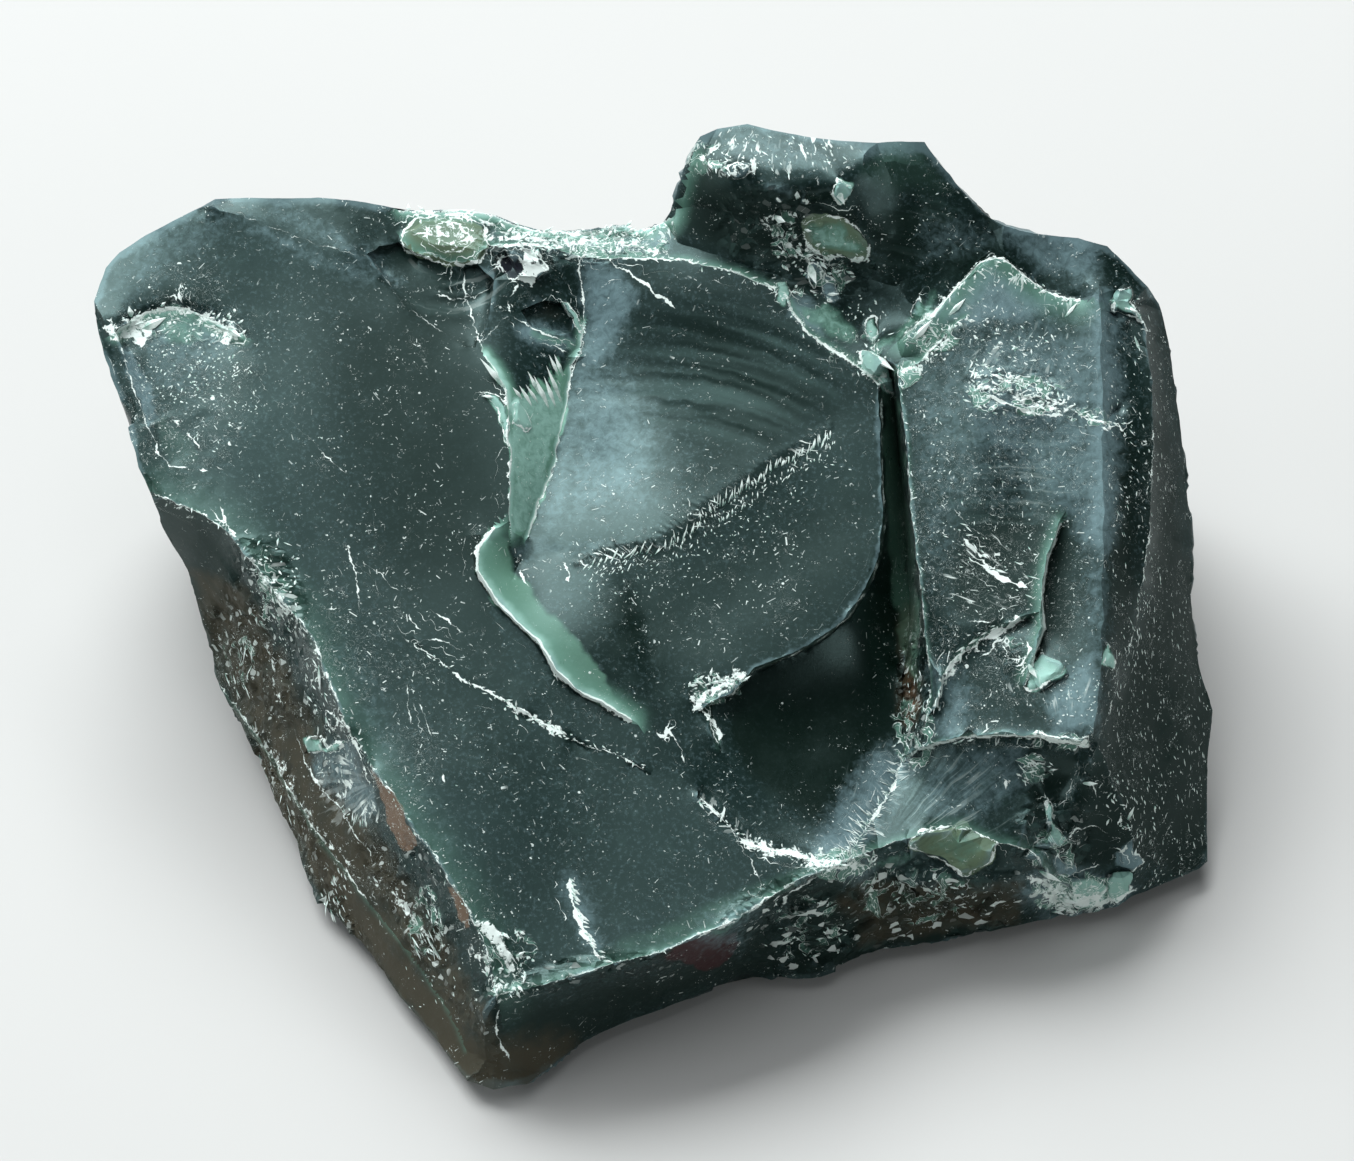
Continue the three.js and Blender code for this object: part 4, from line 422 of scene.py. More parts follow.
# Thin bright lines where an edge catches the light or a crack has opened:
# half-width in mm and path. A path that ends where it starts is a closed one.
INK = [
    (0.22, PANE_RIM), (0.3, SCOOP_EDGE), (0.1, CREVICE_EDGE), (0.4, CREVICE_EDGE[2:6]), (0.36, PANE_FOOT),
    (0.2, SCAR_EDGE), (0.12, SHEET_ARC), (0.26, TOP_RIM), (0.24, SCOOP_BEVEL), (0.16, NEAR_RIDGE),
    (0.2, FEATHER_EDGE), (0.16, RISER_TOP), (0.16, RISER_FOOT), (0.34, SCAR_TOP), (0.2, SECOND_RIDGE),
    (0.2, FAN_EDGE), (0.1, PANE_FAR_EDGE), (0.16, BAND_RIDGE[:7]), (0.14, BAND_STEP[:8]), (0.28, BRUISE_LINE),
    (0.16, LEFT_RIDGE), (0.2, xy(-10.8, 52.5, -10.6, 49.4, -10, 46.8, -9.7, 40.5, -10.9, 36.1, -11.9, 33)),
    (0.34, xy(-6.5, 51.6, -5, 50, -3.1, 49.4, -0.9, 47.5, 1.4, 45.6, 4.3, 43.9)),
    (0.2, xy(-33.4, 56.4, -30, 57, -27.4, 56, -26.8, 54, -28.4, 52.6, -31, 52.4, -33.4, 53.6, -33.4, 56.4)),
    (0.15, xy(-36.4, 55, -33.4, 55.2, -31, 54.2)), (0.15, xy(-34.6, 56.8, -32.4, 55.6, -30.6, 54.4)),
    (0.15, xy(-30.4, 57.6, -30.2, 55.8, -30, 54.2)), (0.15, xy(-27.4, 57, -28.6, 55.4, -29.6, 54.2)),
    (0.15, xy(-25.4, 54.8, -27.4, 54.4, -29.6, 53.9)), (0.16, xy(-30.1, 52.8, -30.1, 49, -29.4, 45.6)),
    (0.18, xy(-28.2, 49.9, -27.5, 45.6, -26, 39.9, -25.1, 37.1)), (0.3, xy(-19.8, 47.8, -20.4, 46.2, -21.3, 45.6)),
    (0.16, xy(-21.3, 45.6, -21.2, 43.4, -23.2, 41.2, -24, 40.4, -25.3, 38.6)),
    (0.14, xy(-23.2, 52, -22.6, 49.6, -24, 47, -26.6, 45.6, -29.8, 45.2, -32.6, 46)),
    (0.26, xy(-21, 43, -19, 41.9, -17.2, 40.8, -15.6, 39.9, -13, 39.2, -11, 37.8)),
    (0.2, xy(-17, 38.6, -14.4, 38.3, -12.2, 36.8)),
    (0.34, xy(23.1, 54.6, 23.8, 52.6, 25.2, 51.9, 26.9, 51, 28.7, 51.7, 30, 51.4, 32.1, 51, 33.1, 52.2, 32.8, 53.9)),
    (0.14, xy(32.8, 53.9, 31.1, 56, 29.3, 57.2, 26.6, 57.8, 22.4, 56.7)), (0.3, xy(20, 46.4, 22.4, 46.3, 24.3, 46.2)),
    (0.2, xy(-17.7, 1.7, -18.7, 2.7, -19.4, 4.4, -17.6, 4.8)),
    (0.34, xy(-13.1, 5.9, -12.4, 4.4, -11.9, 2.9, -12, 2.2)), (0.4, xy(-11.1, 6.8, -9.9, 7, -9.2, 6.6)),
    (0.5, xy(-6, 9.8, -4.9, 9.1)), (0.34, xy(7.2, -15.4, 8.2, -17, 9.6, -18.6, 10.4, -20.4, 9.9, -21.6)),
    (0.26, xy(0.8, -19.4, 2, -20.6, 2.6, -19.6, 4, -21, 5, -22.4, 5.2, -24.4)),
    (0.16, xy(72.8, 39.9, 74.8, 35.4, 75, 32.8)), (0.55, xy(56.4, -3.2, 54.9, -3, 53.4, -4.2, 51.6, -5.1, 49.5, -6)),
    (0.4, xy(49.5, -6, 46.8, -8, 45, -9.9, 43.7, -11.7)), (0.22, xy(49.2, -8.3, 51, -7.8, 51.8, -6.4, 53.4, -5.4)),
    (0.22, xy(52.4, -6.4, 53.6, -7.6, 53.4, -8.6, 54.9, -9, 56.1, -8.8, 56.8, -7.2, 56.2, -5.8)),
    (0.2, xy(54, -11.4, 55.5, -11.1, 56.8, -9.8)), (0.2, xy(53.6, -9.8, 55.2, -10.2, 56.4, -8.4)),
    (0.24, xy(46.5, 9.6, 48.6, 7.5)), (0.24, xy(46.1, 9.7, 48.6, 7.6, 51.1, 6.1)),
    (0.45, xy(47.7, 6, 50.4, 5.1, 52.2, 3.6, 54, 3, 56.7, 1.8)), (0.34, xy(50.4, 13.1, 51.6, 12.7, 53.7, 12.2)),
    (0.2, xy(45, 14.4, 47.4, 11.6, 51, 8.6)), (0.14, xy(46.8, -3.3, 49, -3.4, 50.5, -3, 51.6, -3)),
    (0.5, xy(47.5, 34.8, 50, 33.3)), (0.26, xy(50.3, 34.3, 52.6, 33.4, 54.8, 32.2)), (0.22, xy(54, 34.4, 54.8, 32.4)),
    (0.3, xy(54.8, 32.2, 56, 32.6, 58.4, 31.6, 60, 30.2, 62.7, 28.8, 65.8, 27.1, 68.6, 26.6, 68.9, 25.7, 70.3, 26.4,
        71, 25.2, 72.7, 27.4)),
    (0.3, xy(50, 31, 53, 29.6, 56, 28.4, 60, 27.6, 62, 27.8)), (0.24, xy(55.4, 29, 56.4, 30.6, 58.6, 30.4, 59.4, 29)),
    (0.5, xy(12.8, -35.2, 15.3, -36.5, 18, -37.3, 21, -37.5, 24.7, -38.7, 29.3, -39)),
    (0.24, xy(-36, -6.4, -32.5, -8.5, -29.6, -10.5)), (0.5, xy(-29.6, -10.5, -27, -12.3)),
    (0.26, xy(-27, -12.3, -23, -14.5, -20.4, -15.9)), (0.36, xy(-20.4, -16, -18.5, -17, -15.3, -18.9, -12, -20.4)),
    (0.4, xy(-12, -20.4, -9.6, -21.8, -4.8, -22.9, -0.6, -25.8)), (0.3, xy(7.2, -29.2, 11.4, -33.2, 12.8, -35.2)),
    (0.14, xy(11, -33, 15, -39, 17, -43.6)), (0.3, xy(19.5, -45.7, 23.3, -42.6, 27.1, -39.9, 29.3, -39)),
    (0.24, xy(63.9, -22.6, 64, -24.2, 63.7, -26.2, 63, -27.9, 61.7, -29.9, 60.7, -30.8)),
    (0.22, xy(56.3, -32.7, 57.4, -34.8, 58.7, -37.4, 59.7, -39.1)),
    (0.16, xy(62, -35.5, 63.7, -34.1, 66.7, -33.8, 69, -35.1)), (0.3, xy(64.1, -27.4, 66.3, -27.5, 66.7, -30)),
    (0.18, xy(66.7, -38.8, 68, -37.4, 70.6, -37.4, 71, -40.1)), (0.24, xy(62.9, -41.2, 66, -40, 68, -39.4)),
    (0.3, xy(56.6, -25, 58.4, -26.6, 59, -28.4)), (0.3, xy(53, -26.6, 53.6, -28.6)),
    (0.26, xy(55, -23.8, 57, -24.2, 58.6, -25.6)), (0.6, xy(58.4, -43.8, 62, -45, 66.2, -45.7, 69, -45.6)),
    (0.3, xy(57, -40.6, 59.4, -43.6)), (0.4, xy(71.5, -30, 71, -31.4)), (0.4, xy(73.6, -28.8, 73.2, -30)),
    (0.4, xy(70.4, -32, 69.8, -34)), (0.6, xy(-12.2, -41.1, -11.4, -45, -10.1, -48.4, -8.4, -51.8, -6.7, -54)),
    (0.5, xy(-25.5, -48.4, -22.9, -50.1, -20.4, -53.6, -18.7, -56.1)),
    (0.4, xy(-21, -56.4, -18.6, -57, -16.4, -57.8)), (0.3, xy(-23.6, -51.8, -21.8, -54.6)),
    (0.3, xy(-36.9, 0.5, -36.3, 0.3)), (0.2, xy(-45.8, 8.6, -44.9, 6, -43.9, 3.6, -43.3, -1.9)),
    (0.2, xy(-43.4, 6.4, -40, 3.4, -37.5, 1.2)), (0.44, xy(-36.4, -1.6, -35.8, -3.2, -34, -4.3)),
    (0.3, xy(-33.5, -1, -30.6, -2.6, -28, -5)), (0.2, xy(-37, -6, -31, -6, -27.5, -7.6)),
    (0.1, xy(-60, 35.3, -58, 32, -55.5, 28.9, -51.8, 24.8, -48.4, 21.6, -45.4, 18.8)),
    (0.6, xy(-56.7, 10, -55.4, 10.2)), (0.14, xy(-57.6, 10.4, -54.1, 9.8)), (0.14, xy(-56.3, 11.4, -55.9, 8.7)),
    (0.55, xy(-64.5, 13.9, -63, 11, -61.6, 8.8)), (0.5, xy(-60.9, 6.5, -60.2, 6)), (0.5, xy(-56.3, 0.4, -54, -2)),
    (0.4, xy(-70.7, 48, -70.3, 44.4)), (0.2, xy(-69.9, 47.8, -69.8, 44.6)), (0.3, xy(-69.1, 47.2, -69, 44.4)),
    (0.5, xy(-71.8, 27.1, -70.9, 26.2, -70.3, 25.6)), (0.4, xy(-69.4, 25.4, -68.7, 24.3, -67.2, 22.8)),
    (0.5, xy(-68.2, 20, -66.8, 19.3, -65.9, 19.3)), (0.5, xy(-65.2, 20.2, -64.4, 20, -63.6, 19.3)),
    (0.24, xy(-79.7, 38.6, -79.1, 35.8, -77.9, 32.7, -77, 30.2, -76.1, 27.9, -74.9, 25.1, -73.8, 22.5, -71.8, 20.3,
        -69.2, 19.7)),
    (0.26, xy(-50, -10, -51, -13)), (0.34, xy(-48.5, -17.5, -47, -20)), (0.16, xy(-36.5, -12, -35.9, -19)),
    (0.34, xy(-46.5, -17.1, -45.2, -18.9, -44.4, -20.6, -43.7, -22.5, -42.9, -24.6, -42, -26.8, -41.4, -28)),
    (0.5, xy(-51, -24.6, -50.6, -26.1, -49.7, -27.6, -48.4, -28.5)), (0.16, xy(-34.5, -15, -32.5, -21)),
    (0.2, xy(-31, -25.5, -30.4, -27.6)), (0.26, xy(-22.4, -61, -23, -64, -22, -66.6, -20.6, -69)),
    (0.2, xy(-20.4, -60, -18, -59.4, -14, -58)),
    (0.07, xy(-63.6, 58.8, -50.4, 53.4, -42, 51.6, -37.2, 44.4, -30, 39.6)),
]

# Streaks that fan out round a spot: x, y, and the ellipse they fill, then their
# spacing and length in mm, strength and softness (0 crisp white, 1 soft and pale).
RAYS = [
    (27, -46, (45, -28, 17, 10.5), 0.7, 16, 0.75, 0.85), (70, 70, (55, 38, 16, 10), 1, 6, 0.4, 0.75),
    (69, -6, (50.6, 4, 8, 8), 0.8, 7, 0.6, 0.25), (-40, -26.6, (-45, -29, 5.8, 6.6), 0.7, 5, 1.5, 0.05),
    (20, 90, (17, 67, 17, 4.4), 0.8, 2.4, 0.75, 0.2), (62, -26, (60, -16, 8, 8), 1, 6, 0.5, 0.6),
]

# Streaks that run round a spot, laid out in the same way. Their soft bands are painted sheen and painted
# shade of the shell ripples.
ARCS = [
    (52, -70, (54, 18, 13, 9), 1.3, 30, 0.6, 0.9), (-2, -20, (13, 35, 18, 13), 3.4, 60, 0.95, 1),
    (30, 20, (46, 55, 17, 8), 1.1, 30, 0.22, 0.95), (-30, 56, (-29, 47, 10, 7), 1.9, 14, 0.5, 0.85),
]

# Short strokes that stand off a line: path, side (1 left, -1 right, 0 both), reach,
# spacing, length, lean along the line, strength, softness.
FRINGES = [
    (BRUISE_LINE, 0, 4.4, 0.45, 3, 0.25, 1.1, 0.1), (COMB_LINE, -1, 4, 0.62, 2.6, -1, 0.7, 0),
    (TOP_RIM, -1, 4.2, 0.9, 2.4, 0.4, 0.9, 0.3), (PANE_RIM, -1, 5.2, 0.7, 2.6, -0.3, 0.9, 0.3),
    (SCAR_TOP, -1, 3, 0.8, 2.4, 0.3, 0.6, 0.6), (LEFT_RIDGE, -1, 2.2, 0.8, 1.8, 0.6, 0.7, 0.1),
    (SCOOP_EDGE, 0, 1.8, 0.7, 1.6, 0.3, 0.4, 0.1), (SECOND_RIDGE, -1, 2.6, 0.8, 1.6, 0.4, 1, 0.3),
    (PANE_FOOT, -1, 2.4, 0.7, 2, 0.3, 0.8, 0.3), (NEAR_RIDGE, 1, 2.2, 0.9, 1.8, 0.8, 0.5, 0.3),
    (xy(7.2, -29.2, 11.4, -33.2, 15.3, -36.5, 20, -37.6, 29.3, -39), 0, 2.2, 0.8, 1.8, 0.6, 0.9, 0),
    (xy(57, -43, 62, -45, 69, -45.6), 0, 4, 0.8, 3.2, 0.5, 1, 0.1),
]

# Ground crushed into curled white flakes: x, y, half-width, half-height, strength.
CRUSHED = [
    (-6, 54.6, 10, 3.2, 0.9), (55.4, 30.6, 8, 3.4, 0.9), (66, 27.6, 4, 2, 0.6), (53.4, -7.6, 3.6, 2.6, 0.5),
    (-70, 41.6, 11, 3.2, 0.4), (-57, 2, 3, 7, 0.6), (28.6, -39.6, 5, 2.6, 1), (-20.8, -53.8, 4.4, 5, 0.5),
    (9.6, -13.2, 4.4, 2.6, 0.6), (64.4, -44, 8, 3.4, 0.9), (25.6, 48.6, 4.6, 4.6, 0.6), (20.4, 54.4, 2.6, 4.4, 0.6),
    (-62, -9, 3.4, 4.6, 0.5), (42.6, 39.6, 5, 2.6, 0.75), (38.4, 33.8, 2.2, 2.4, 0.8), (39.6, -20, 3.4, 6, 0.7),
    (8.6, 66.4, 4, 2.6, 0.7), (30.6, 37.6, 4.6, 4, 0.3), (61, -21.4, 5.4, 1.8, 0.6), (40, -44, 10, 5, 0.5),
    (24, -49, 7, 5, 0.45), (-33.5, -48, 3, 6, 0.5), (57.4, -25, 3.4, 2.6, 0.7), (60, -38, 4, 4, 0.5),
]

# Splinters in rows: path, spacing, offset to the left from and to, heading off the
# path and its spread in degrees, shortest, longest and half-width, all in mm.
SPLINTER_ROWS = [
    (COMB_LINE, 0.36, -2.4, -1.8, 48, 8, 1.3, 2.3, 0.14), (COMB_LINE, 0.4, -4.4, -2.4, 44, 16, 0.5, 1.3, 0.13),
    (COMB_LINE, 0.5, -8, -3.6, 30, 60, 0.25, 0.8, 0.11), (ARCH_EDGE, 0.5, -0.5, 0.5, 0, 20, 0.8, 2.2, 0.22),
    (xy(-46.6, -31, -44.8, -33.4, -42.4, -34.3), 0.3, -0.4, 0.6, 84, 9, 1.6, 3.6, 0.17),
    (xy(-60.5, -19, -57, -27, -54, -34), 0.8, -0.8, 1.2, 0, 14, 0.8, 2.6, 0.14),
    (BRUISE_LINE, 0.26, -0.4, 0.4, -105, 30, 1, 3.6, 0.12), (BRUISE_LINE, 0.5, -0.4, 0.4, 145, 25, 0.8, 2.4, 0.11),
    (xy(-12.2, -41.1, -11.4, -45, -10.1, -48.4, -8.4, -51.8, -6.9, -53.8), 0.75, -0.3, 0.3, 28, 12, 1.2, 2.2, 0.3),
    (PANE_RIM, 0.7, -1.4, 0.3, 0, 40, 0.5, 1.6, 0.2), (SCOOP_EDGE, 1, -0.4, 0.4, 0, 40, 0.4, 1.2, 0.2),
    (TOP_RIM, 0.6, -1.8, 0.1, 0, 60, 0.6, 1.8, 0.3), (SCOOP_BEVEL, 0.8, -0.4, 0.4, 0, 40, 0.5, 1.6, 0.2),
    (LEFT_RIDGE, 0.9, -0.6, 0.4, 0, 50, 0.4, 1.4, 0.18), (NEAR_RIDGE, 1.3, -0.3, 0.4, 0, 40, 0.4, 1.2, 0.16),
    (SECOND_RIDGE, 0.6, -0.8, 0.4, 0, 50, 0.6, 1.8, 0.3), (CREVICE_EDGE, 1.2, -0.1, 0.3, 0, 20, 0.4, 1.4, 0.12),
    (SCAR_TOP, 0.7, -1.2, 0.4, 0, 50, 0.6, 1.7, 0.28), (PANE_FOOT, 0.7, -0.6, 0.4, 0, 30, 0.6, 2.2, 0.2),
    (xy(-34.5, -6.8, -28, -11.9, -22, -15.2), 0.9, -0.4, 0.4, 0, 30, 0.4, 1.2, 0.14),
    (xy(-22, -15.2, -18.5, -17.3, -12, -20.4), 0.4, -0.7, 0.5, 0, 50, 0.5, 1.6, 0.24),
    (xy(-12, -20.4, -4.8, -22.9, -0.6, -25.8), 0.8, -0.5, 0.4, 0, 40, 0.4, 1.4, 0.16),
    (xy(7.2, -29.2, 11.4, -33.2, 15.3, -36.5, 20, -37.6, 24.7, -38.7), 0.5, -0.7, 0.6, 20, 50, 0.5, 1.7, 0.2),
    (xy(47.6, 34.8, 53.7, 33.8, 57.1, 31.4, 62.7, 28.8, 71.8, 25.3), 0.5, -1.2, 1, 0, 50, 0.6, 2, 0.22),
    (xy(44.6, 10.6, 51.1, 6.1, 56.7, 1.9), 0.8, -2.4, 2.4, 0, 14, 0.6, 2.4, 0.14),
]

# Splinters strewn over an ellipse: x, y, half-width, half-height, how many, heading
# and its spread in degrees, shortest, longest and half-width in mm.
SPLINTER_BEDS = [
    (51, 31.4, 5, 3.4, 50, -20, 60, 0.5, 1.6, 0.22), (59, 30, 4, 2.6, 24, -30, 60, 0.6, 1.8, 0.24),
    (28, -39.2, 6, 2.2, 50, 20, 60, 0.5, 1.8, 0.24), (-21, -53.6, 4, 5, 40, -60, 50, 0.6, 2, 0.34),
    (62, -44.6, 5, 2.4, 44, -10, 50, 0.8, 2.6, 0.26), (25.4, 48.8, 4.6, 4.6, 34, 10, 70, 0.6, 2, 0.3),
    (20.8, 54.4, 2.6, 4.4, 26, -50, 50, 0.6, 1.8, 0.3), (-70, 41.6, 10, 2.4, 50, 0, 60, 0.5, 1.8, 0.28),
    (-69.6, 34.4, 7.6, 5.6, 130, 0, 90, 0.25, 0.8, 0.19), (-66, 30, 7, 8, 60, -50, 60, 0.3, 0.9, 0.13),
    (-56.4, 2, 4, 8, 60, -55, 40, 0.5, 1.7, 0.2), (-62, -9, 2.6, 4.4, 44, -62, 24, 0.8, 2.8, 0.15),
    (-57, -5, 4, 6, 70, -60, 40, 0.25, 0.8, 0.1), (-50.6, -13, 2, 5, 22, -60, 30, 0.6, 2.2, 0.2),
    (-33.5, -48.5, 2.4, 5.2, 60, -62, 14, 1, 3.2, 0.17), (-47.5, -43, 2.2, 4.6, 40, -60, 20, 0.8, 2.6, 0.17),
    (-47, -25, 3, 3, 26, 40, 20, 0.5, 1.3, 0.14), (-32, -58, 5, 8, 40, -62, 40, 0.3, 1, 0.12),
    (-10, 54.8, 13, 2.6, 90, 0, 70, 0.5, 1.9, 0.3), (24, -48.6, 9, 5, 30, -50, 50, 0.5, 2.2, 0.18),
    (44, -44.4, 8, 3, 26, -20, 60, 0.5, 2, 0.18), (57, -25, 3, 2.4, 24, -30, 40, 0.6, 2, 0.2),
    (52, 43, 11, 6, 70, -60, 40, 0.3, 1.2, 0.13), (56, 38, 8, 3, 26, 0, 60, 0.4, 1.2, 0.2),
    (9.6, -13, 4.4, 2, 40, 40, 40, 0.6, 1.9, 0.26), (8, 6, 16, 9, 150, 60, 90, 0.22, 0.6, 0.12),
    (51, 14, 10, 24, 120, -30, 40, 0.3, 1, 0.12), (73, 18, 4.6, 28, 150, -80, 24, 0.3, 1.2, 0.13),
    (77, -20, 8, 24, 280, -84, 20, 0.25, 1.3, 0.13), (72, -31, 4, 6, 40, -70, 30, 0.5, 1.4, 0.2),
    (39.4, -16, 2, 8, 30, -80, 20, 0.6, 2, 0.16), (17, 67, 12, 3, 80, -80, 20, 0.4, 1.6, 0.15),
    (-45, 12, 18, 22, 60, -50, 60, 0.25, 0.7, 0.11), (-24, -34, 14, 20, 50, -50, 60, 0.25, 0.7, 0.11),
    (36, 56, 18, 7, 40, -20, 50, 0.25, 0.8, 0.11), (32, 41.6, 4, 4.4, 30, -50, 50, 0.4, 1.4, 0.2),
    (64, -14, 3.4, 5, 40, -60, 60, 0.25, 0.7, 0.15),
]

# Single blades: x, y of the root, heading in degrees, length and half-width in mm.
BLADES = [
    (-13.6, 33.4, 109, 3.9, 0.35), (-12.9, 33, 103, 4.3, 0.4), (-16.4, 30.4, 110, 4.5, 0.4),
    (-15, 28.2, 108, 6.1, 0.5), (-14.1, 28.6, 103, 5.4, 0.42), (-17.6, 28.8, 117, 4, 0.42),
    (-16.6, 29.2, 123, 3.8, 0.36), (-13.1, 29.2, 108, 6.6, 0.42), (-19.1, 30, 127, 2.5, 0.36),
    (-21.6, 31.6, 122, 6.2, 0.6), (-23.2, 30.4, 160, 2.2, 0.3), (32.9, 37.6, -62, 5.6, 0.8),
    (34.7, 34.6, -66, 2.8, 0.6), (59.5, -29.4, -82, 4.6, 0.5), (72, -40.6, 84, 5, 0.5), (-48.6, -17.4, -58, 3.4, 0.5),
    (-49.6, -9.6, -104, 4, 0.4), (60.6, -44.8, 20, 4.2, 0.8), (61, -42, 34, 4.6, 0.6), (58, -40.4, -40, 4, 0.6),
    (64.6, -27.4, -4, 2.4, 0.4), (17.4, 56.4, 20, 2.6, 0.6), (18.6, 57.6, -10, 2.8, 0.7), (22, 60, 84, 2, 0.5),
    (24, 50.6, -70, 3.6, 0.7), (25.6, 47.8, -50, 3, 0.7), (27.8, 62.2, -74, 3.2, 0.6), (-76.8, 40.6, 20, 4.6, 0.8),
    (-78, 42.4, 84, 1.8, 0.6), (-63.6, 40.8, -24, 3.2, 0.6), (-65.6, 41.4, -18, 3.6, 0.5), (-21.6, 57, -40, 3.4, 0.5),
    (56.4, -9.4, -60, 3, 0.5), (62.2, 42.4, 50, 3.4, 0.3), (72.7, 40, -74, 7.4, 0.34), (39, 38.6, 40, 5, 0.6),
    (44.6, 42.6, 40, 4, 0.5), (54.2, 37.8, 0, 1.3, 0.3), (55.4, 37.8, 180, 1.3, 0.3), (54.8, 37.2, 90, 1.3, 0.3),
    (52.3, 38.9, -60, 1, 0.4), (63.4, -26, -100, 3, 0.4), (66.4, -44.6, 30, 3.4, 0.6), (71.4, -33, 70, 2.6, 0.3),
]

# ---- noise


def scatter(cells, salt):
    """Repeatable values from 0 to 1 for whole-number cells."""
    mixed = cells[:, 0] * 73856093 ^ cells[:, 1] * 19349663 ^ cells[:, 2] * 83492791 ^ salt * 40503
    mixed &= 0xFFFFFFFF
    mixed = ((mixed ^ (mixed >> 15)) * 2246822519) & 0xFFFFFFFF
    mixed = ((mixed ^ (mixed >> 13)) * 3266489917) & 0xFFFFFFFF
    return ((mixed ^ (mixed >> 16)) & 0xFFFFFF) / 0xFFFFFF


def grain(points, size, salt=0):
    """Smooth bumps between -1 and 1, about size apart."""
    spots = points / size
    cells = np.floor(spots).astype(np.int64)
    part = spots - cells
    part = part * part * (3 - 2 * part)
    total = np.zeros(len(points))
    for corner in np.ndindex(2, 2, 2):
        weight = np.prod(np.where(corner, part, 1 - part), axis=1)
        total += weight * scatter(cells + corner, salt)
    return 2 * total - 1


def thrice(noise, salt):
    """Three values of one noise side by side, from three salts in turn."""
    return np.stack([noise(salt + k) for k in range(3)], axis=1)


def near_cells(points, size, salt):
    """The 27 cells round every point, and where the point lies from each one's random centre."""
    spots = points / size
    cells = np.floor(spots).astype(np.int64)
    for corner in np.ndindex(3, 3, 3):
        cell = cells + np.array(corner) - 1
        yield cell, spots - (cell + thrice(partial(scatter, cell), salt))


def dishes(points, size, salt=0):
    """Shell-shaped hollows side by side: 0 on their floors, rising to 1 on sharp ridges."""
    nearest = np.full(len(points), 9.0)
    for cell, local in near_cells(points, size, salt):
        nearest = np.minimum(nearest, (local ** 2).sum(axis=1) + 0.25 * scatter(cell, salt + 3))
    return np.clip(nearest, 0, 1)


def facets(points, size, salt=0):
    """Small tilted planes side by side, stepped at their seams, between about -1 and 1."""
    nearest = np.full(len(points), 9.0)
    height = np.zeros(len(points))
    for cell, local in near_cells(points, size, salt):
        gap = (local ** 2).sum(axis=1)
        tilt = thrice(partial(scatter, cell), salt + 4) - 0.5
        plane = 1.6 * (local * tilt).sum(axis=1) + 0.7 * (scatter(cell, salt + 7) - 0.5)
        closer = gap < nearest
        nearest[closer], height[closer] = gap[closer], plane[closer]
    return height


# ---- shapes on the board


def step(low, high, value):
    """Smooth step from 0 at low to 1 at high."""
    part = np.clip((value - low) / (high - low), 0, 1)
    return part * part * (3 - 2 * part)


def ellipse_gap(x, y, spot):
    """Squared distance from an ellipse's middle: 1 on its edge."""
    return ((x - spot[0]) / spot[2]) ** 2 + ((y - spot[1]) / spot[3]) ** 2


def bell(x, y, spot):
    """One in the middle of an ellipse, falling smoothly to nothing at its edge."""
    return np.clip(1 - ellipse_gap(x, y, spot), 0, 1) ** 2


def plateau(x, y, spot):
    """One over most of an ellipse, with a soft edge."""
    return step(1.15, 0.6, ellipse_gap(x, y, spot))


def along_path(x, y, path, reach):
    """Distance to an open path up to reach, the side (left is positive) and the way run."""
    away = np.full(len(x), float(reach))
    side = np.ones(len(x))
    way = np.zeros(len(x))
    run = 0.0
    for (ax, ay), (bx, by) in zip(path, path[1:]):
        length = math.hypot(bx - ax, by - ay)
        near = np.flatnonzero(
            (x > min(ax, bx) - reach) & (x < max(ax, bx) + reach)
            & (y > min(ay, by) - reach) & (y < max(ay, by) + reach)
        )
        ux, uy = (bx - ax) / length, (by - ay) / length
        dx, dy = x[near] - ax, y[near] - ay
        part = np.clip(dx * ux + dy * uy, 0, length)
        gap = np.hypot(dx - part * ux, dy - part * uy)
        closer = gap < away[near]
        spots = near[closer]
        away[spots] = gap[closer]
        side[spots] = np.sign(dy * ux - dx * uy)[closer]
        way[spots] = (run + part)[closer]
        run += length
    return away, side, way


def closed(outline):
    return outline + outline[:1]


def depth_inside(x, y, outline, reach):
    """Signed distance into a closed outline, at most reach either way."""
    away = along_path(x, y, closed(outline), reach)[0]
    odd = np.zeros(len(x), bool)
    for (ax, ay), (bx, by) in zip(outline, closed(outline)[1:]):
        if ay == by:
            continue
        crosses = (ay > y) != (by > y)
        odd ^= crosses & (x < (bx - ax) * (y - ay) / (by - ay) + ax)
    return np.where(odd, away, -away)


def path_length(path):
    return sum(math.dist(a, b) for a, b in zip(path, path[1:]))


def drawn_lines():
    """Every bright line, the rims of the chips with them: half-width and path."""
    return INK + [(rim, closed(outline)) for _, _, _, rim, _, outline in CHIPS if rim]


def brushed(x, y, colour):
    """How strongly one colour's strokes, patches and chips lie on each spot, from 0 to 1."""
    spots = np.stack([x, y, np.zeros(len(x))], axis=1)
    x = x + 0.45 * grain(spots, 2.6, 90) + 0.3 * grain(spots, 1.1, 91)
    y = y + 0.45 * grain(spots, 2.6, 92) + 0.3 * grain(spots, 1.1, 93)
    cover = np.zeros(len(x))
    for half_width, strength, path in STROKES.get(colour, []):
        away = along_path(x, y, path, 2 * half_width + 0.6)[0]
        cover = np.maximum(cover, strength * (1 - away / (2 * half_width + 0.6)))
    chips = [(softness, strength, outline) for fill, softness, strength, _, _, outline in CHIPS if fill == colour]
    for softness, strength, outline in PATCHES.get(colour, []) + chips:
        inside = depth_inside(x, y, outline, 2 * softness)
        cover = np.maximum(cover, strength * step(-softness, softness, inside))
    return cover


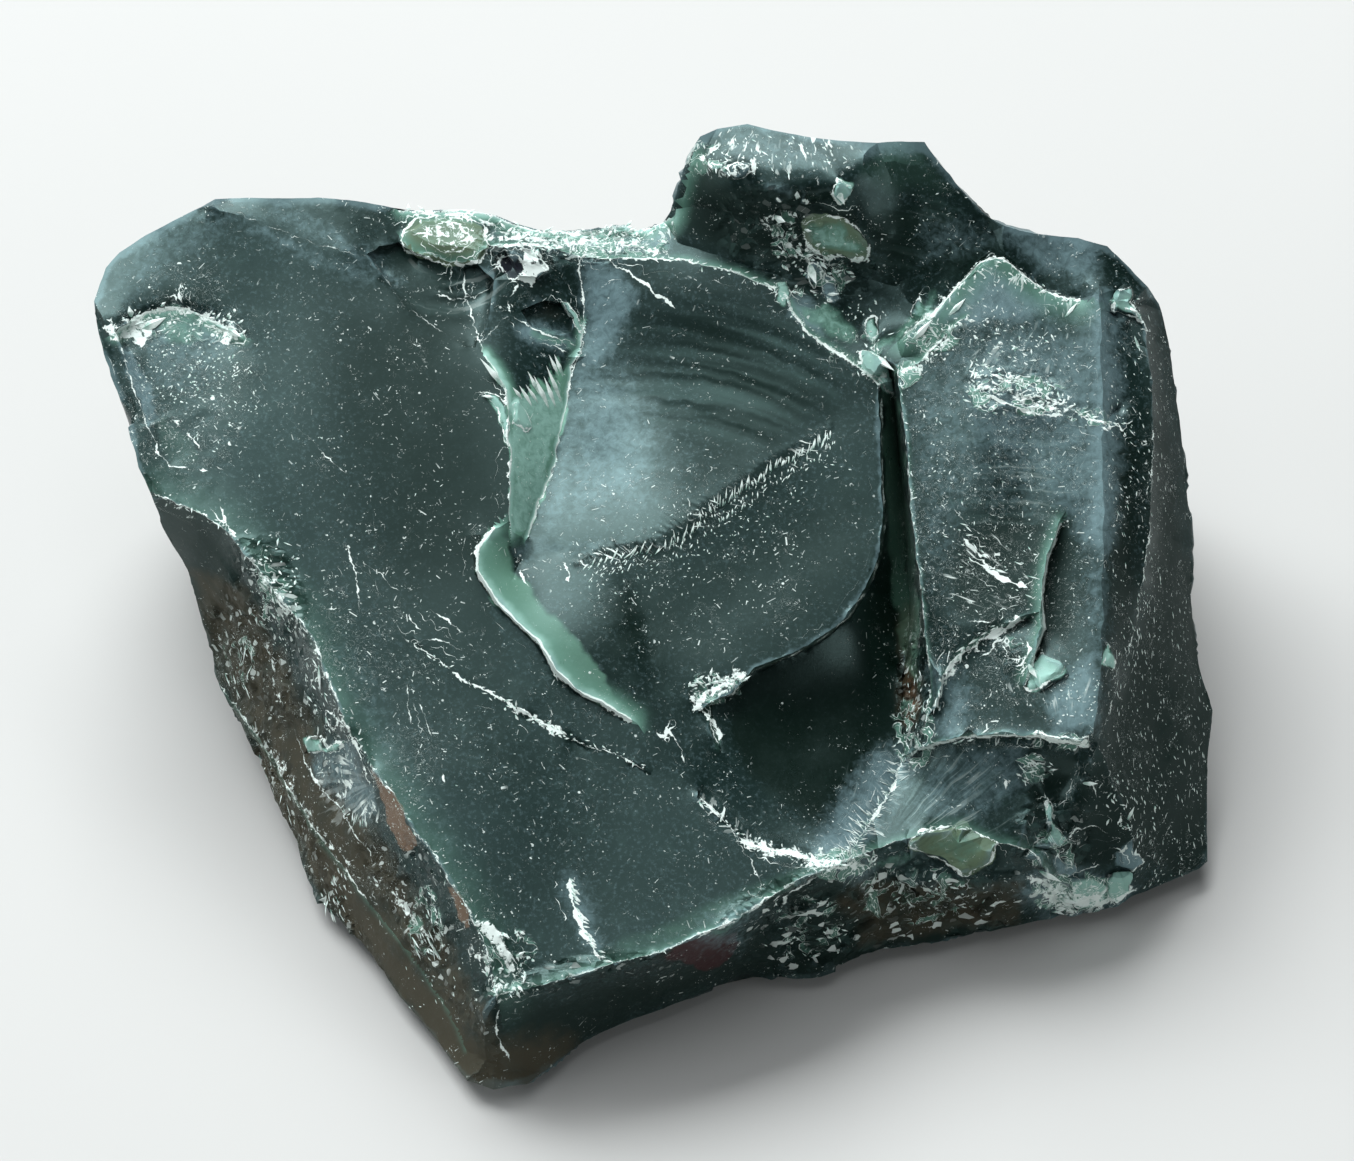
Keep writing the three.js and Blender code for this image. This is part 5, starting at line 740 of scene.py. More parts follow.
def lit(x, y, triangles, edges):
    """Painted glow or painted shade along edges, and a painted highlight rim, corner by corner, so that they stop
    dead at a crease.
    """
    middle_x, middle_y = x[triangles].mean(axis=1), y[triangles].mean(axis=1)
    glow = np.zeros(triangles.size)
    rim = np.zeros(triangles.size)
    for side, reach, strength, line, path in edges:
        away = along_path(x, y, path, reach)[0]
        _, facing, _ = along_path(middle_x, middle_y, path, reach + 2)
        on_side = np.repeat(facing == side, 3)
        near = away[triangles].ravel()
        glow = np.maximum(glow, on_side * strength * (1 - near / reach) ** 1.4)
        rim = np.maximum(rim, on_side * line * np.clip(1 - near / 0.9, 0, 1))
    return glow, rim


INK_REACH = 2.2  # how far from a bright line its distance is kept, mm


def inked(x, y):
    """Signed distance to the nearest bright line and that line's half-width, in mm."""
    nearest = np.full(len(x), INK_REACH)
    gap = np.full(len(x), INK_REACH)
    width = np.zeros(len(x))
    for half_width, path in drawn_lines():
        away, side, way = along_path(x, y, path, INK_REACH)
        run = path_length(path)
        taper = 1.0 if path[0] == path[-1] else step(0, 1.2, way) * step(run, run - 1.2, way)
        closer = away < nearest
        nearest[closer] = away[closer]
        gap[closer] = (away * side)[closer]
        width[closer] = (half_width * taper * step(2.0, 1.4, away))[closer]
    return gap, width


def streaked(x, y):
    """Where each spot lies across and along the streaks, their strength and softness."""
    across, along, strength, soft = (np.zeros(len(x)) for _ in range(4))

    def lay(here, softness, across_here, along_here):
        stronger = here > strength
        for kept, values in ((across, across_here), (along, along_here), (soft, softness), (strength, here)):
            kept[stronger] = np.broadcast_to(values, len(x))[stronger]

    for order, (cx, cy, spot, spacing, length, force, softness) in enumerate(RAYS + ARCS):
        radius = np.hypot(x - cx, y - cy)
        middle = max(math.dist((cx, cy), spot[:2]), spot[2] / 2)
        turn = np.arctan2(y - cy, x - cx) * middle
        run, rise = (turn, radius) if order < len(RAYS) else (radius, turn)
        lay(force * bell(x, y, spot) ** 0.35, softness, run / spacing + 40 * order, rise / length)
    for order, (path, sided, reach, spacing, length, lean, force, softness) in enumerate(FRINGES):
        away, side, way = along_path(x, y, path, reach)
        run = path_length(path)
        beside = ((side == sided) | (sided == 0)) * (way > 0.01) * (way < run - 0.01)
        here = force * (1 - away / reach) ** 0.7 * beside
        lay(here, softness, (way + lean * away) / spacing + 90 * order, away * side / length)
    return across, along, strength, soft


def over_spots(x, y, spots):
    """Strongest of several soft ellipses at each place."""
    most = np.zeros(len(x))
    for spot in spots:
        most = np.maximum(most, spot[4] * plateau(x, y, spot))
    return most


# ---- skin of the block

FACE, WALL, SOLE = 0, 1, 2  # zones of the skin
BOARD_CELL = 0.5  # cell of the board's fineness grid, mm
BOARD_EDGES = (-90, 90, -80, 80)  # the grid's left, right, lower and upper edge, mm
SOLE_LEVEL = 0.05  # what lies lower belongs to the sole, mm
MERGE_WITHIN = 0.001  # points this close are one, mm
REFINE_ROUNDS = 6
SOOTHE_ROUNDS = 3


def wanted_edge(x, y, settings):
    """Longest skin edge allowed at each spot of the broken face, in mm."""
    broad, middling, fine = settings.face_grain, settings.rough_grain, settings.fine_grain
    limit = np.full(len(x), broad)
    for spot in ROUGH_GROUND + RIPPLED_GROUND:
        limit = np.minimum(limit, broad + (middling - broad) * plateau(x, y, spot))
    lines = [path for _, path in drawn_lines()] + [path for _, _, path in STROKES["white"]]
    lines += [closed(outline) for _, softness, _, rim, _, outline in CHIPS if softness < 0.7 and not rim]
    for path in lines:
        away = along_path(x, y, path, 3.0)[0]
        limit = np.minimum(limit, fine + (broad - fine) * step(0.3, 1.8, away))
    away, side, _ = along_path(x, y, COMB_LINE, 6.0)
    comb = step(5.0, 3.0, away + (side < 0) * 1.5)
    return np.minimum(limit, broad + (0.8 * fine - broad) * comb)


def triangle_edges(triangles):
    """Three edges for every triangle, each with its lower point first."""
    return np.sort(triangles[:, [0, 1, 1, 2, 2, 0]].reshape(-1, 2), axis=1)


def cut_long_edges(points, triangles, zones, creases, limit_of):
    """Halves every edge longer than its limit. Triangles keep their zone, creases stay marked."""
    count = len(points)
    ends = triangle_edges(triangles)
    keys, first, which = np.unique(ends[:, 0] * count + ends[:, 1], return_index=True, return_inverse=True)
    ends = ends[first]
    middle = (points[ends[:, 0]] + points[ends[:, 1]]) / 2
    length = lengths(points[ends[:, 0]] - points[ends[:, 1]])
    zone = np.full(len(ends), SOLE)
    np.minimum.at(zone, which.ravel(), np.repeat(zones, 3))
    cut = length > limit_of(middle, zone)
    born = np.full(len(ends), -1)
    born[cut] = count + np.arange(cut.sum())
    points = np.vstack([points, middle[cut]])
    halves = born[which.ravel()].reshape(-1, 3)

    rank = np.searchsorted(keys, creases[:, 0] * count + creases[:, 1])
    new = born[rank]
    kept, split, new = creases[new < 0], creases[new >= 0], new[new >= 0]
    creases = np.vstack([kept, np.stack([split[:, 0], new], 1), np.stack([split[:, 1], new], 1)])

    cuts = (halves >= 0).sum(axis=1)
    out, labels = [triangles[cuts == 0]], [zones[cuts == 0]]
    turn = np.zeros(len(triangles), int)
    turn[cuts == 1] = np.argmax(halves[cuts == 1] >= 0, axis=1)
    turn[cuts == 2] = np.argmin(halves[cuts == 2], axis=1)
    order = (np.arange(3)[None, :] + turn[:, None]) % 3
    corner = np.take_along_axis(triangles, order, axis=1)
    half = np.take_along_axis(halves, order, axis=1)
    (a, b, c), (ab, bc, ca) = corner.T, half.T

    def add(mask, *faces):
        for face in faces:
            out.append(np.stack([v[mask] for v in face], axis=1))
            labels.append(zones[mask])

    one, two, three = cuts == 1, cuts == 2, cuts == 3
    add(one, (a, ab, c), (ab, b, c))
    add(three, (a, ab, ca), (ab, b, bc), (ca, bc, c), (ab, bc, ca))
    add(two, (ca, bc, c))
    across = np.zeros(len(triangles), bool)
    across[two] = lengths(points[a[two]] - points[bc[two]]) < lengths(points[b[two]] - points[ca[two]])
    add(two & across, (a, b, bc), (a, bc, ca))
    add(two & ~across, (a, b, ca), (b, bc, ca))
    return points, np.vstack(out), np.concatenate(labels), np.sort(creases, axis=1)


def spread(ends, values, count):
    """Sum of each point's neighbours' values, and how many neighbours it has."""
    total = np.zeros((count, values.shape[1]))
    for axis in range(values.shape[1]):
        total[:, axis] = np.bincount(ends[:, 0], values[ends[:, 1], axis], count)
        total[:, axis] += np.bincount(ends[:, 1], values[ends[:, 0], axis], count)
    return total, np.bincount(ends.ravel(), minlength=count)


def soothe(points, triangles, creases, rounds, held):
    """Evens the skin out without rounding its creases off."""
    ends = np.unique(triangle_edges(triangles), axis=0)
    count = len(points)
    on_crease = np.bincount(creases.ravel(), minlength=count)
    free = (on_crease == 0) & ~held
    runner = (on_crease == 2) & ~held
    for _ in range(rounds):
        total, share = spread(ends, points, count)
        line, _ = spread(creases, points, count)
        moved = points.copy()
        moved[free] += 0.5 * (total[free] / share[free, None] - points[free])
        moved[runner] += 0.25 * (line[runner] / 2 - points[runner])
        points = moved
    return points


def lengths(vectors):
    return np.linalg.norm(vectors, axis=1)


def unit(vectors):
    """The vectors' directions, each one long."""
    return vectors / np.maximum(lengths(vectors), 1e-12)[:, None]


def face_normals(points, triangles):
    """Each triangle's outward normal, twice its area long."""
    a, b, c = (points[triangles[:, k]] for k in range(3))
    return np.cross(b - a, c - a)


def skin_normals(points, triangles):
    """The skin's direction at each point, larger triangles counting for more."""
    across = face_normals(points, triangles)
    total = np.zeros_like(points)
    for corner in range(3):
        for axis in range(3):
            total[:, axis] += np.bincount(triangles[:, corner], across[:, axis], len(points))
    return unit(total)


def sharp_edges(points, triangles, degrees):
    """Edges where the skin bends by more than the given angle."""
    across = unit(face_normals(points, triangles))
    ends = triangle_edges(triangles)
    owner = np.repeat(np.arange(len(triangles)), 3)
    order = np.lexsort((ends[:, 1], ends[:, 0]))
    ends, owner = ends[order].reshape(-1, 2, 2), owner[order].reshape(-1, 2)
    bend = (across[owner[:, 0]] * across[owner[:, 1]]).sum(axis=1)
    return ends[bend < math.cos(math.radians(degrees)), 0]


def solid_skin():
    """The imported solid's points in mm and its triangles, seams merged."""
    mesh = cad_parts[SOLID].data
    points = np.zeros(len(mesh.vertices) * 3)
    mesh.vertices.foreach_get("co", points)
    points = points.reshape(-1, 3) / MM
    triangles = np.zeros(len(mesh.polygons) * 3, int)
    mesh.loops.foreach_get("vertex_index", triangles)
    whole = np.round(points / MERGE_WITHIN).astype(np.int64)
    _, first, merged = np.unique(whole, axis=0, return_index=True, return_inverse=True)
    triangles = merged.ravel()[triangles].reshape(-1, 3)
    distinct = (triangles[:, 0] != triangles[:, 1]) & (triangles[:, 1] != triangles[:, 2])
    distinct &= triangles[:, 2] != triangles[:, 0]
    return points[first], triangles[distinct]


def grow_skin(settings):
    """Refined skin: points in mm, triangles, creases and which points lie on the broken face."""
    points, triangles = solid_skin()
    creases = sharp_edges(points, triangles, settings.crease_angle)
    x, y = on_board(points[creases].mean(axis=1))
    kept = np.ones(len(creases), bool)
    for spot in MELTED:
        kept &= ellipse_gap(x, y, spot) > 1
    creases = creases[kept]
    facing = unit(face_normals(points, triangles)) @ TO_VIEWER > 0.01
    zones = np.where((points[triangles, 2] < SOLE_LEVEL).all(axis=1), SOLE, np.where(facing, FACE, WALL))
    left, right, lower, upper = BOARD_EDGES
    columns, rows = np.arange(left, right, BOARD_CELL), np.arange(lower, upper, BOARD_CELL)
    grid_x, grid_y = np.meshgrid(columns, rows, indexing="ij")
    grid = wanted_edge(grid_x.ravel(), grid_y.ravel(), settings).reshape(grid_x.shape)

    def limit_of(middle, zone):
        x, y = on_board(middle)
        column = np.clip(np.rint((x - left) / BOARD_CELL).astype(int), 0, len(columns) - 1)
        row = np.clip(np.rint((y - lower) / BOARD_CELL).astype(int), 0, len(rows) - 1)
        limit = grid[column, row]
        return np.select([zone == FACE, zone == WALL], [limit, settings.wall_grain], settings.sole_grain)

    for _ in range(REFINE_ROUNDS):
        points, triangles, zones, creases = cut_long_edges(points, triangles, zones, creases, limit_of)
        points = soothe(points, triangles, creases, SOOTHE_ROUNDS, points[:, 2] < SOLE_LEVEL)
    seen = np.zeros(len(points), bool)
    seen[triangles[zones == FACE].ravel()] = True
    return points, triangles, creases, seen


# ---- relief

# Hollows rippled round where they were struck: ellipse, depth, centre, spacing and salt.
RIPPLES = [
    ((6, 34, 22, 20), 0.13, (-2, -20), 3.6, 33), ((52, 22, 15, 24), 0.05, (48, -12), 3.0, 36),
    ((46, 54, 17, 9), 0.03, (30, 20), 1.6, 39), ((-31, 45, 10, 9), 0.16, (-29, 56), 2.6, 42),
]


def shell_lines(x, y, points, centre, spacing, salt):
    """Curved ripples round the spot where a shell scar was struck."""
    radius = np.hypot(x - centre[0], y - centre[1]) + 1.6 * grain(points, 14, salt)
    phase = radius / spacing + 0.35 * np.sin(radius / spacing * 1.7)
    return np.sin(2 * math.pi * phase) * (0.6 + 0.4 * grain(points, 9, salt + 1))


def comb_teeth(x, y):
    """Fringe of slanted splinters that climbs from the scoop's lower edge."""
    away, side, way = along_path(x, y, COMB_LINE, 6.0)
    away = away * side + 2.2
    tooth = (way + 0.34 * away) / 0.95
    number = np.floor(tooth).astype(np.int64)
    cells = np.stack([number, number * 0, number * 0], axis=1)
    long = 1.0 + 3.8 * scatter(cells, 31) * step(0, 6, way) * step(40, 26, way)
    ridge = np.clip(1 - np.abs(tooth - number - 0.5) / 0.34, 0, 1)
    return ridge * np.clip(1 - np.abs(away - 1.6) / long, 0, 1) * (np.abs(away) < 5)


def relief(points, seen, settings):
    """Height of the small relief along the skin's normals, in mm."""
    x, y = on_board(points)
    face = seen.astype(float)
    rough = over_spots(x, y, ROUGH_GROUND) * face * (1 - 0.85 * brushed(x, y, "calm"))
    crushed = over_spots(x, y, CRUSHED) * face
    warped = points + 0.9 * thrice(partial(grain, points, 4), 60)
    height = 0.07 * grain(points, 13, 1) + 0.03 * grain(points, 3.4, 2) * rough
    height += rough * (0.8 * facets(warped, 7, 5) + 0.26 * facets(warped, 3, 9))
    height += rough * 0.05 * grain(points, 1.1, 13) + crushed * 0.25 * facets(warped, 1.7, 29)
    wall = 1 - face
    height += wall * (1.1 * (dishes(warped, 17, 17) - 0.4) + 0.6 * facets(warped, 9, 21))
    height += wall * (0.12 * facets(warped, 3.8, 26) + 0.06 * grain(points, 2.2, 25))

    for spot, depth, centre, spacing, salt in RIPPLES:
        hollow = bell(x, y, spot) * face
        height += depth * settings.ripple * hollow * shell_lines(x, y, points, centre, spacing, salt)
    height += 0.22 * settings.comb * comb_teeth(x, y) * face
    away, side, way = along_path(x, y, COMB_LINE, 30)
    run = path_length(COMB_LINE)
    below = (side < 0) * step(0, 10, way) * step(run, run - 6, way)
    height -= face * below * 0.9 * (1 - np.exp(-away / 4)) * step(26, 10, away) * step(30, 12, away)

    for _, _, _, _, lift, outline in CHIPS:
        if lift:
            inside = depth_inside(x, y, outline, 1.2)
            height += lift * face * step(-0.1, 0.4, inside) * (1 - 0.2 * inside)
    bite = 0.12 + 0.12 * dishes(points, 1.5, 47) + 0.08 * grain(points, 0.9, 51)
    for half_width, strength, path in STROKES["white"]:
        away = along_path(x, y, path, half_width + 0.9)[0]
        height -= face * settings.chipping * strength * (1 - away / (half_width + 0.9)) * bite
    return height


def carved(points, triangles, seen, settings):
    """The skin with its small relief, its edges made to wander like broken ones."""
    normals = skin_normals(points, triangles)
    height = relief(points, seen, settings)
    wander = 0.3 * thrice(partial(grain, points, 2.4), 70) + 0.2 * thrice(partial(grain, points, 1.0), 80)
    wander -= normals * (wander * normals).sum(axis=1, keepdims=True)
    off_sole = step(0, 2.5, points[:, 2])[:, None]
    points = points + off_sole * (normals * height[:, None] + wander)
    points[:, 2] = np.maximum(points[:, 2], 0)
    return points


# ---- node wiring

HALVES = (0.5, 0.5, 0.5)


class Nodes:
    """Short hand for wiring a node tree."""

    def __init__(self, tree):
        self.tree = tree

    def feed(self, socket, value):
        if isinstance(value, bpy.types.NodeSocket):
            self.tree.links.new(value, socket)
        else:
            socket.default_value = value

    def add(self, kind, *values, **inputs):
        """A node with its inputs fed in order, by name, or both."""
        node = self.tree.nodes.new(kind)
        for socket, value in zip(node.inputs, values):
            self.feed(socket, value)
        for name, value in inputs.items():
            self.feed(node.inputs[name.replace("_", " ")], value)
        return node

    def math(self, operation, *values, clamp=False):
        node = self.add("ShaderNodeMath", *values)
        node.operation, node.use_clamp = operation, clamp
        return node.outputs[0]

    def fold(self, operation, first, *others):
        """One operation on several values, taken in turn."""
        for value in others:
            first = self.math(operation, first, value)
        return first

    def plus(self, *values):
        return self.fold("ADD", *values)

    def times(self, *values):
        return self.fold("MULTIPLY", *values)

    def most(self, *values):
        return self.fold("MAXIMUM", *values)

    def swing(self, noise, size):
        """How far a noise lies off its middle, size times over."""
        return self.times(self.math("SUBTRACT", noise, 0.5), size)

    def vector(self, operation, *values):
        node = self.add("ShaderNodeVectorMath", *values)
        node.operation = operation
        return node.outputs["Value" if operation == "DOT_PRODUCT" else "Vector"]

    def ramp(self, value, low, high, to_low=0.0, to_high=1.0):
        node = self.add("ShaderNodeMapRange", value, low, high, to_low, to_high)
        node.interpolation_type = "SMOOTHSTEP"
        return node.outputs["Result"]

    def blend(self, share, under, over):
        node = self.tree.nodes.new("ShaderNodeMix")
        node.data_type = "RGBA"
        for key, value in (("Factor", share), (6, under), (7, over)):
            self.feed(node.inputs[key], value)
        return node.outputs[2]

    def noise(self, vector, scale, detail=3.0, rough=0.55, distortion=0.0):
        node = self.add("ShaderNodeTexNoise", Vector=vector, Scale=scale, Detail=detail,
                        Roughness=rough, Distortion=distortion)
        return node.outputs["Fac"]

    def cells(self, vector, size):
        """Scattered cells about size metres apart, and three random values for each."""
        cells = self.add("ShaderNodeTexVoronoi", Vector=vector, Scale=1 / size).outputs
        return cells, self.add("ShaderNodeSeparateColor", Color=cells["Color"]).outputs

    def painted(self, name):
        node = self.tree.nodes.new("ShaderNodeAttribute")
        node.attribute_name = name
        return node.outputs["Fac"]


def finish(name):
    """A new material, and short hand for its emptied tree."""
    material = bpy.data.materials.new(name)
    material.use_nodes = True
    material.node_tree.nodes.clear()
    return material, Nodes(material.node_tree)


def close(n, **inputs):
    """Ends a material's tree in one shader."""
    shader = n.add("ShaderNodeBsdfPrincipled", **inputs)
    n.add("ShaderNodeOutputMaterial", Surface=shader.outputs[0])


# ---- splinters

ABOVE = 500  # start of the rays that find the skin, mm
ACROSS = np.array([1.0, 0.0, 0.0])  # the board's x and y in the block's own axes
UP_BOARD = np.array([0.0, math.sin(LOOK), math.cos(LOOK)])


def strewn_rows(random):
    """Board place, heading in radians, length and half-width of every splinter in the rows."""
    found = []
    for path, spacing, nearest, farthest, lean, spread_by, shortest, longest, half_width in SPLINTER_ROWS:
        for (ax, ay), (bx, by) in zip(path, path[1:]):
            run = math.hypot(bx - ax, by - ay)
            ux, uy = (bx - ax) / run, (by - ay) / run
            for way in np.arange(random.uniform(0, spacing), run, spacing):
                way, off = way + random.normal(0, spacing / 3), random.uniform(nearest, farthest)
                heading = math.atan2(uy, ux) + math.radians(lean + random.normal(0, spread_by))
                long = shortest + (longest - shortest) * random.random() ** 1.6
                found.append((ax + ux * way - uy * off, ay + uy * way + ux * off, heading, long,
                              half_width * random.uniform(0.6, 1.2)))
    return found


def strewn_beds(random):
    """The same for the splinters that are strewn over ellipses."""
    found = []
    for x, y, wide, high, count, heading, spread_by, shortest, longest, half_width in SPLINTER_BEDS:
        for _ in range(count):
            reach, turn = math.sqrt(random.random()), random.uniform(0, 2 * math.pi)
            long = shortest + (longest - shortest) * random.random() ** 2
            found.append((x + wide * reach * math.cos(turn), y + high * reach * math.sin(turn),
                          math.radians(heading + random.normal(0, spread_by)), long,
                          half_width * random.uniform(0.6, 1.2)))
    return found


def splinter_seeds(block, settings):
    """A cloud of points on the block's skin that carry each splinter's pose and size."""
    random = np.random.default_rng(settings.seed)
    mesh = block.data
    corners = [vertex.co / MM for vertex in mesh.vertices]
    skin = BVHTree.FromPolygons(corners, [tuple(face.vertices) for face in mesh.polygons])
    sight = Vector(-TO_VIEWER)
    found = []
    blades = [(x, y, math.radians(heading), long, half_width) for x, y, heading, long, half_width in BLADES]
    for x, y, heading, long, half_width in strewn_rows(random) + strewn_beds(random) + blades:
        chance = random.random()
        board = np.array([x - BOARD_SHIFT[0], -BOARD_SHIFT[1], 0]) + y * UP_BOARD
        spot, normal, _, _ = skin.ray_cast(Vector(board + ABOVE * TO_VIEWER), sight)
        if spot is None or normal.dot(sight) > -0.3:
            continue
        way = Vector(math.cos(heading) * ACROSS + math.sin(heading) * UP_BOARD)
        way = (way - normal * way.dot(normal)).normalized()
        way = (way + normal * settings.splinter_rise * chance).normalized()
        size = Vector((half_width, half_width * settings.splinter_thickness, long)) * MM * settings.splinter_size
        found.append((spot * MM - normal * half_width * 0.25 * MM, way, normal, size))
    places, ways, ups, sizes = zip(*found)
    seeds = bpy.data.meshes.new("splinter seeds")
    seeds.from_pydata(places, [], [])
    for name, values in (("heading", ways), ("up", ups), ("size", sizes)):
        layer = seeds.attributes.new(name, "FLOAT_VECTOR", "POINT")
        layer.data.foreach_set("vector", np.array(values, np.float32).ravel())
    return seeds


def splinter_tree():
    """Geometry nodes that put a bent, pointed blade on every seed."""
    tree = bpy.data.node_groups.new("splinters", "GeometryNodeTree")
    for name, kind, default in (("Seeds", "Geometry", None), ("Sides", "Int", 5),
                                ("Bend", "Float", 0.8), ("Finish", "Material", None)):
        socket = tree.interface.new_socket(name, in_out="INPUT", socket_type="NodeSocket" + kind)
        if default:
            socket.default_value = default
    tree.interface.new_socket("Splinters", in_out="OUTPUT", socket_type="NodeSocketGeometry")
    n = Nodes(tree)
    given = n.add("NodeGroupInput").outputs

    def carried(name):
        node = n.add("GeometryNodeInputNamedAttribute", Name=name)
        node.data_type = "FLOAT_VECTOR"
        return node.outputs["Attribute"]

    blade = n.add("GeometryNodeMeshCone", Vertices=given["Sides"], Side_Segments=2, Fill_Segments=1,
                  Radius_Top=0.0, Radius_Bottom=1.0, Depth=1.0)
    at = n.add("ShaderNodeSeparateXYZ", Vector=n.add("GeometryNodeInputPosition").outputs[0]).outputs
    swell = n.math("MULTIPLY_ADD", at["Z"], 3.2, 0.35)
    bow = n.times(n.math("POWER", at["Z"], 2.0), given["Bend"])
    shaped = n.add("ShaderNodeCombineXYZ", X=n.plus(n.times(at["X"], swell), bow), Y=n.times(at["Y"], swell),
                   Z=at["Z"])
    bent = n.add("GeometryNodeSetPosition", Geometry=blade.outputs["Mesh"], Position=shaped.outputs[0])
    tipped = n.add("GeometryNodeStoreNamedAttribute", Geometry=bent.outputs["Geometry"], Name="tip", Value=at["Z"])
    pose = n.add("FunctionNodeAxesToRotation", Primary_Axis=carried("heading"), Secondary_Axis=carried("up"))
    pose.primary_axis, pose.secondary_axis = "Z", "Y"
    copies = n.add("GeometryNodeInstanceOnPoints", Points=given["Seeds"], Instance=tipped.outputs["Geometry"],
                   Rotation=pose.outputs[0], Scale=carried("size"))
    whole = n.add("GeometryNodeRealizeInstances", Geometry=copies.outputs[0])
    flat = n.add("GeometryNodeSetShadeSmooth", Geometry=whole.outputs[0], Shade_Smooth=False)
    dressed = n.add("GeometryNodeSetMaterial", Geometry=flat.outputs[0], Material=given["Finish"])
    n.add("NodeGroupOutput", Splinters=dressed.outputs[0])
    return tree


def grown_splinters(seeds, settings):
    """Plain mesh of all the splinters."""
    holder = add_object("splinter seeds", seeds)
    modifier = holder.modifiers.new("splinters", "NODES")
    tree = splinter_tree()
    modifier.node_group = tree
    wanted = {"Sides": settings.splinter_sides, "Bend": settings.splinter_bend, "Finish": splinter_finish(settings)}
    for item in tree.interface.items_tree:
        if item.name in wanted:
            modifier[item.identifier] = wanted[item.name]
    graph = bpy.context.evaluated_depsgraph_get()
    mesh = bpy.data.meshes.new_from_object(holder.evaluated_get(graph))
    holder.modifiers.remove(modifier)
    bpy.data.objects.remove(holder)
    mesh.name = "splinters"
    return mesh


# ---- meshes


def mesh_from(name, points, triangles, creases):
    """A closed mesh in metres with smooth faces and marked sharp edges."""
    mesh = bpy.data.meshes.new(name)
    mesh.vertices.add(len(points))
    mesh.vertices.foreach_set("co", (points * MM).ravel())
    mesh.loops.add(len(triangles) * 3)
    mesh.loops.foreach_set("vertex_index", triangles.ravel().astype(np.int32))
    mesh.polygons.add(len(triangles))
    mesh.polygons.foreach_set("loop_start", np.arange(0, len(triangles) * 3, 3, dtype=np.int32))
    mesh.update(calc_edges=True)
    mesh.shade_smooth()
    pairs = np.zeros(len(mesh.edges) * 2, np.int32)
    mesh.edges.foreach_get("vertices", pairs)
    pairs = np.sort(pairs.reshape(-1, 2).astype(np.int64), axis=1)
    count = len(points)
    sharp = np.isin(pairs[:, 0] * count + pairs[:, 1], creases[:, 0] * count + creases[:, 1])
    mark = mesh.attributes.new("sharp_edge", "BOOLEAN", "EDGE")
    mark.data.foreach_set("value", sharp)
    return mesh


def paint(mesh, name, values, domain="POINT"):
    """Stores one value a point, or a corner, for the finish to read."""
    layer = mesh.attributes.new(name, "FLOAT", domain)
    layer.data.foreach_set("value", values.astype(np.float32))


def keenness(points, triangles):
    """How sharply the skin stands out at each point: ridges above 0, valleys below."""
    ends = np.unique(triangle_edges(triangles), axis=0)
    total, share = spread(ends, points, len(points))
    length = lengths(points[ends[:, 0]] - points[ends[:, 1]])
    span = np.bincount(ends[:, 0], length, len(points)) + np.bincount(ends[:, 1], length, len(points))
    pull = points - total / share[:, None]
    bend = (pull * skin_normals(points, triangles)).sum(axis=1) / (span / share)
    for _ in range(2):
        near, share = spread(ends, bend[:, None], len(points))
        bend = 0.5 * bend + 0.5 * near[:, 0] / share
    return bend


def add_object(name, data):
    thing = bpy.data.objects.new(name, data)
    bpy.context.scene.collection.objects.link(thing)
    return thing


# ---- finish

QUARTZ_IOR = 1.54


def linear(red, green, blue):
    """Shader colour from an everyday 0 to 255 colour."""
    shares = (value / 255 for value in (red, green, blue))
    return tuple(((c + 0.055) / 1.055) ** 2.4 if c > 10 / 255 else c / 12.92 for c in shares) + (1.0,)


def flecks(n, vector, cell, size, share, salt):
    """Small round white spots in a share of the cells, in metres."""
    cells, chance = n.cells(n.vector("ADD", vector, (salt, salt * 0.7, -salt)), cell)
    reach = n.times(size / cell, n.plus(0.35, chance["Red"]))
    spot = n.ramp(n.math("DIVIDE", cells["Distance"], reach), 1.0, 0.6)
    return n.times(spot, n.math("LESS_THAN", chance["Green"], share))


def scratches(n, vector, cell, length, width, share, salt):
    """Short straight strokes, each in its own direction, in a share of the cells."""
    place = n.vector("ADD", vector, (salt, -salt, salt * 0.4))
    cells, chance = n.cells(place, cell)
    local = n.vector("SUBTRACT", place, cells["Position"])
    heading = n.vector("NORMALIZE", n.vector("SUBTRACT", cells["Color"], HALVES))
    across = n.math("ABSOLUTE", n.vector("DOT_PRODUCT", local, heading))
    reach = n.times(length / cell, n.plus(0.3, chance["Red"]))
    short = n.math("LESS_THAN", cells["Distance"], reach)
    return n.times(n.ramp(across, width, width * 0.4), short, n.math("LESS_THAN", chance["Blue"], share))


def warped(n, vector, scale, reach):
    """Coordinates pushed about by noise."""
    push = n.add("ShaderNodeTexNoise", Vector=vector, Scale=scale, Detail=2.0).outputs["Color"]
    return n.vector("ADD", vector, n.vector("MULTIPLY", n.vector("SUBTRACT", push, HALVES), (reach * 2,) * 3))


def tilted_planes(n, vector, cell):
    """Small planes side by side, each tilted its own way: their height in metres and random values."""
    cells, chance = n.cells(vector, cell)
    local = n.vector("SUBTRACT", vector, cells["Position"])
    return n.vector("DOT_PRODUCT", local, n.vector("SUBTRACT", cells["Color"], HALVES)), chance


def thread(n, noise, level, wide, narrow):
    """Thin line where a noise crosses a level."""
    return n.ramp(n.math("ABSOLUTE", n.math("SUBTRACT", noise, level)), wide, narrow)


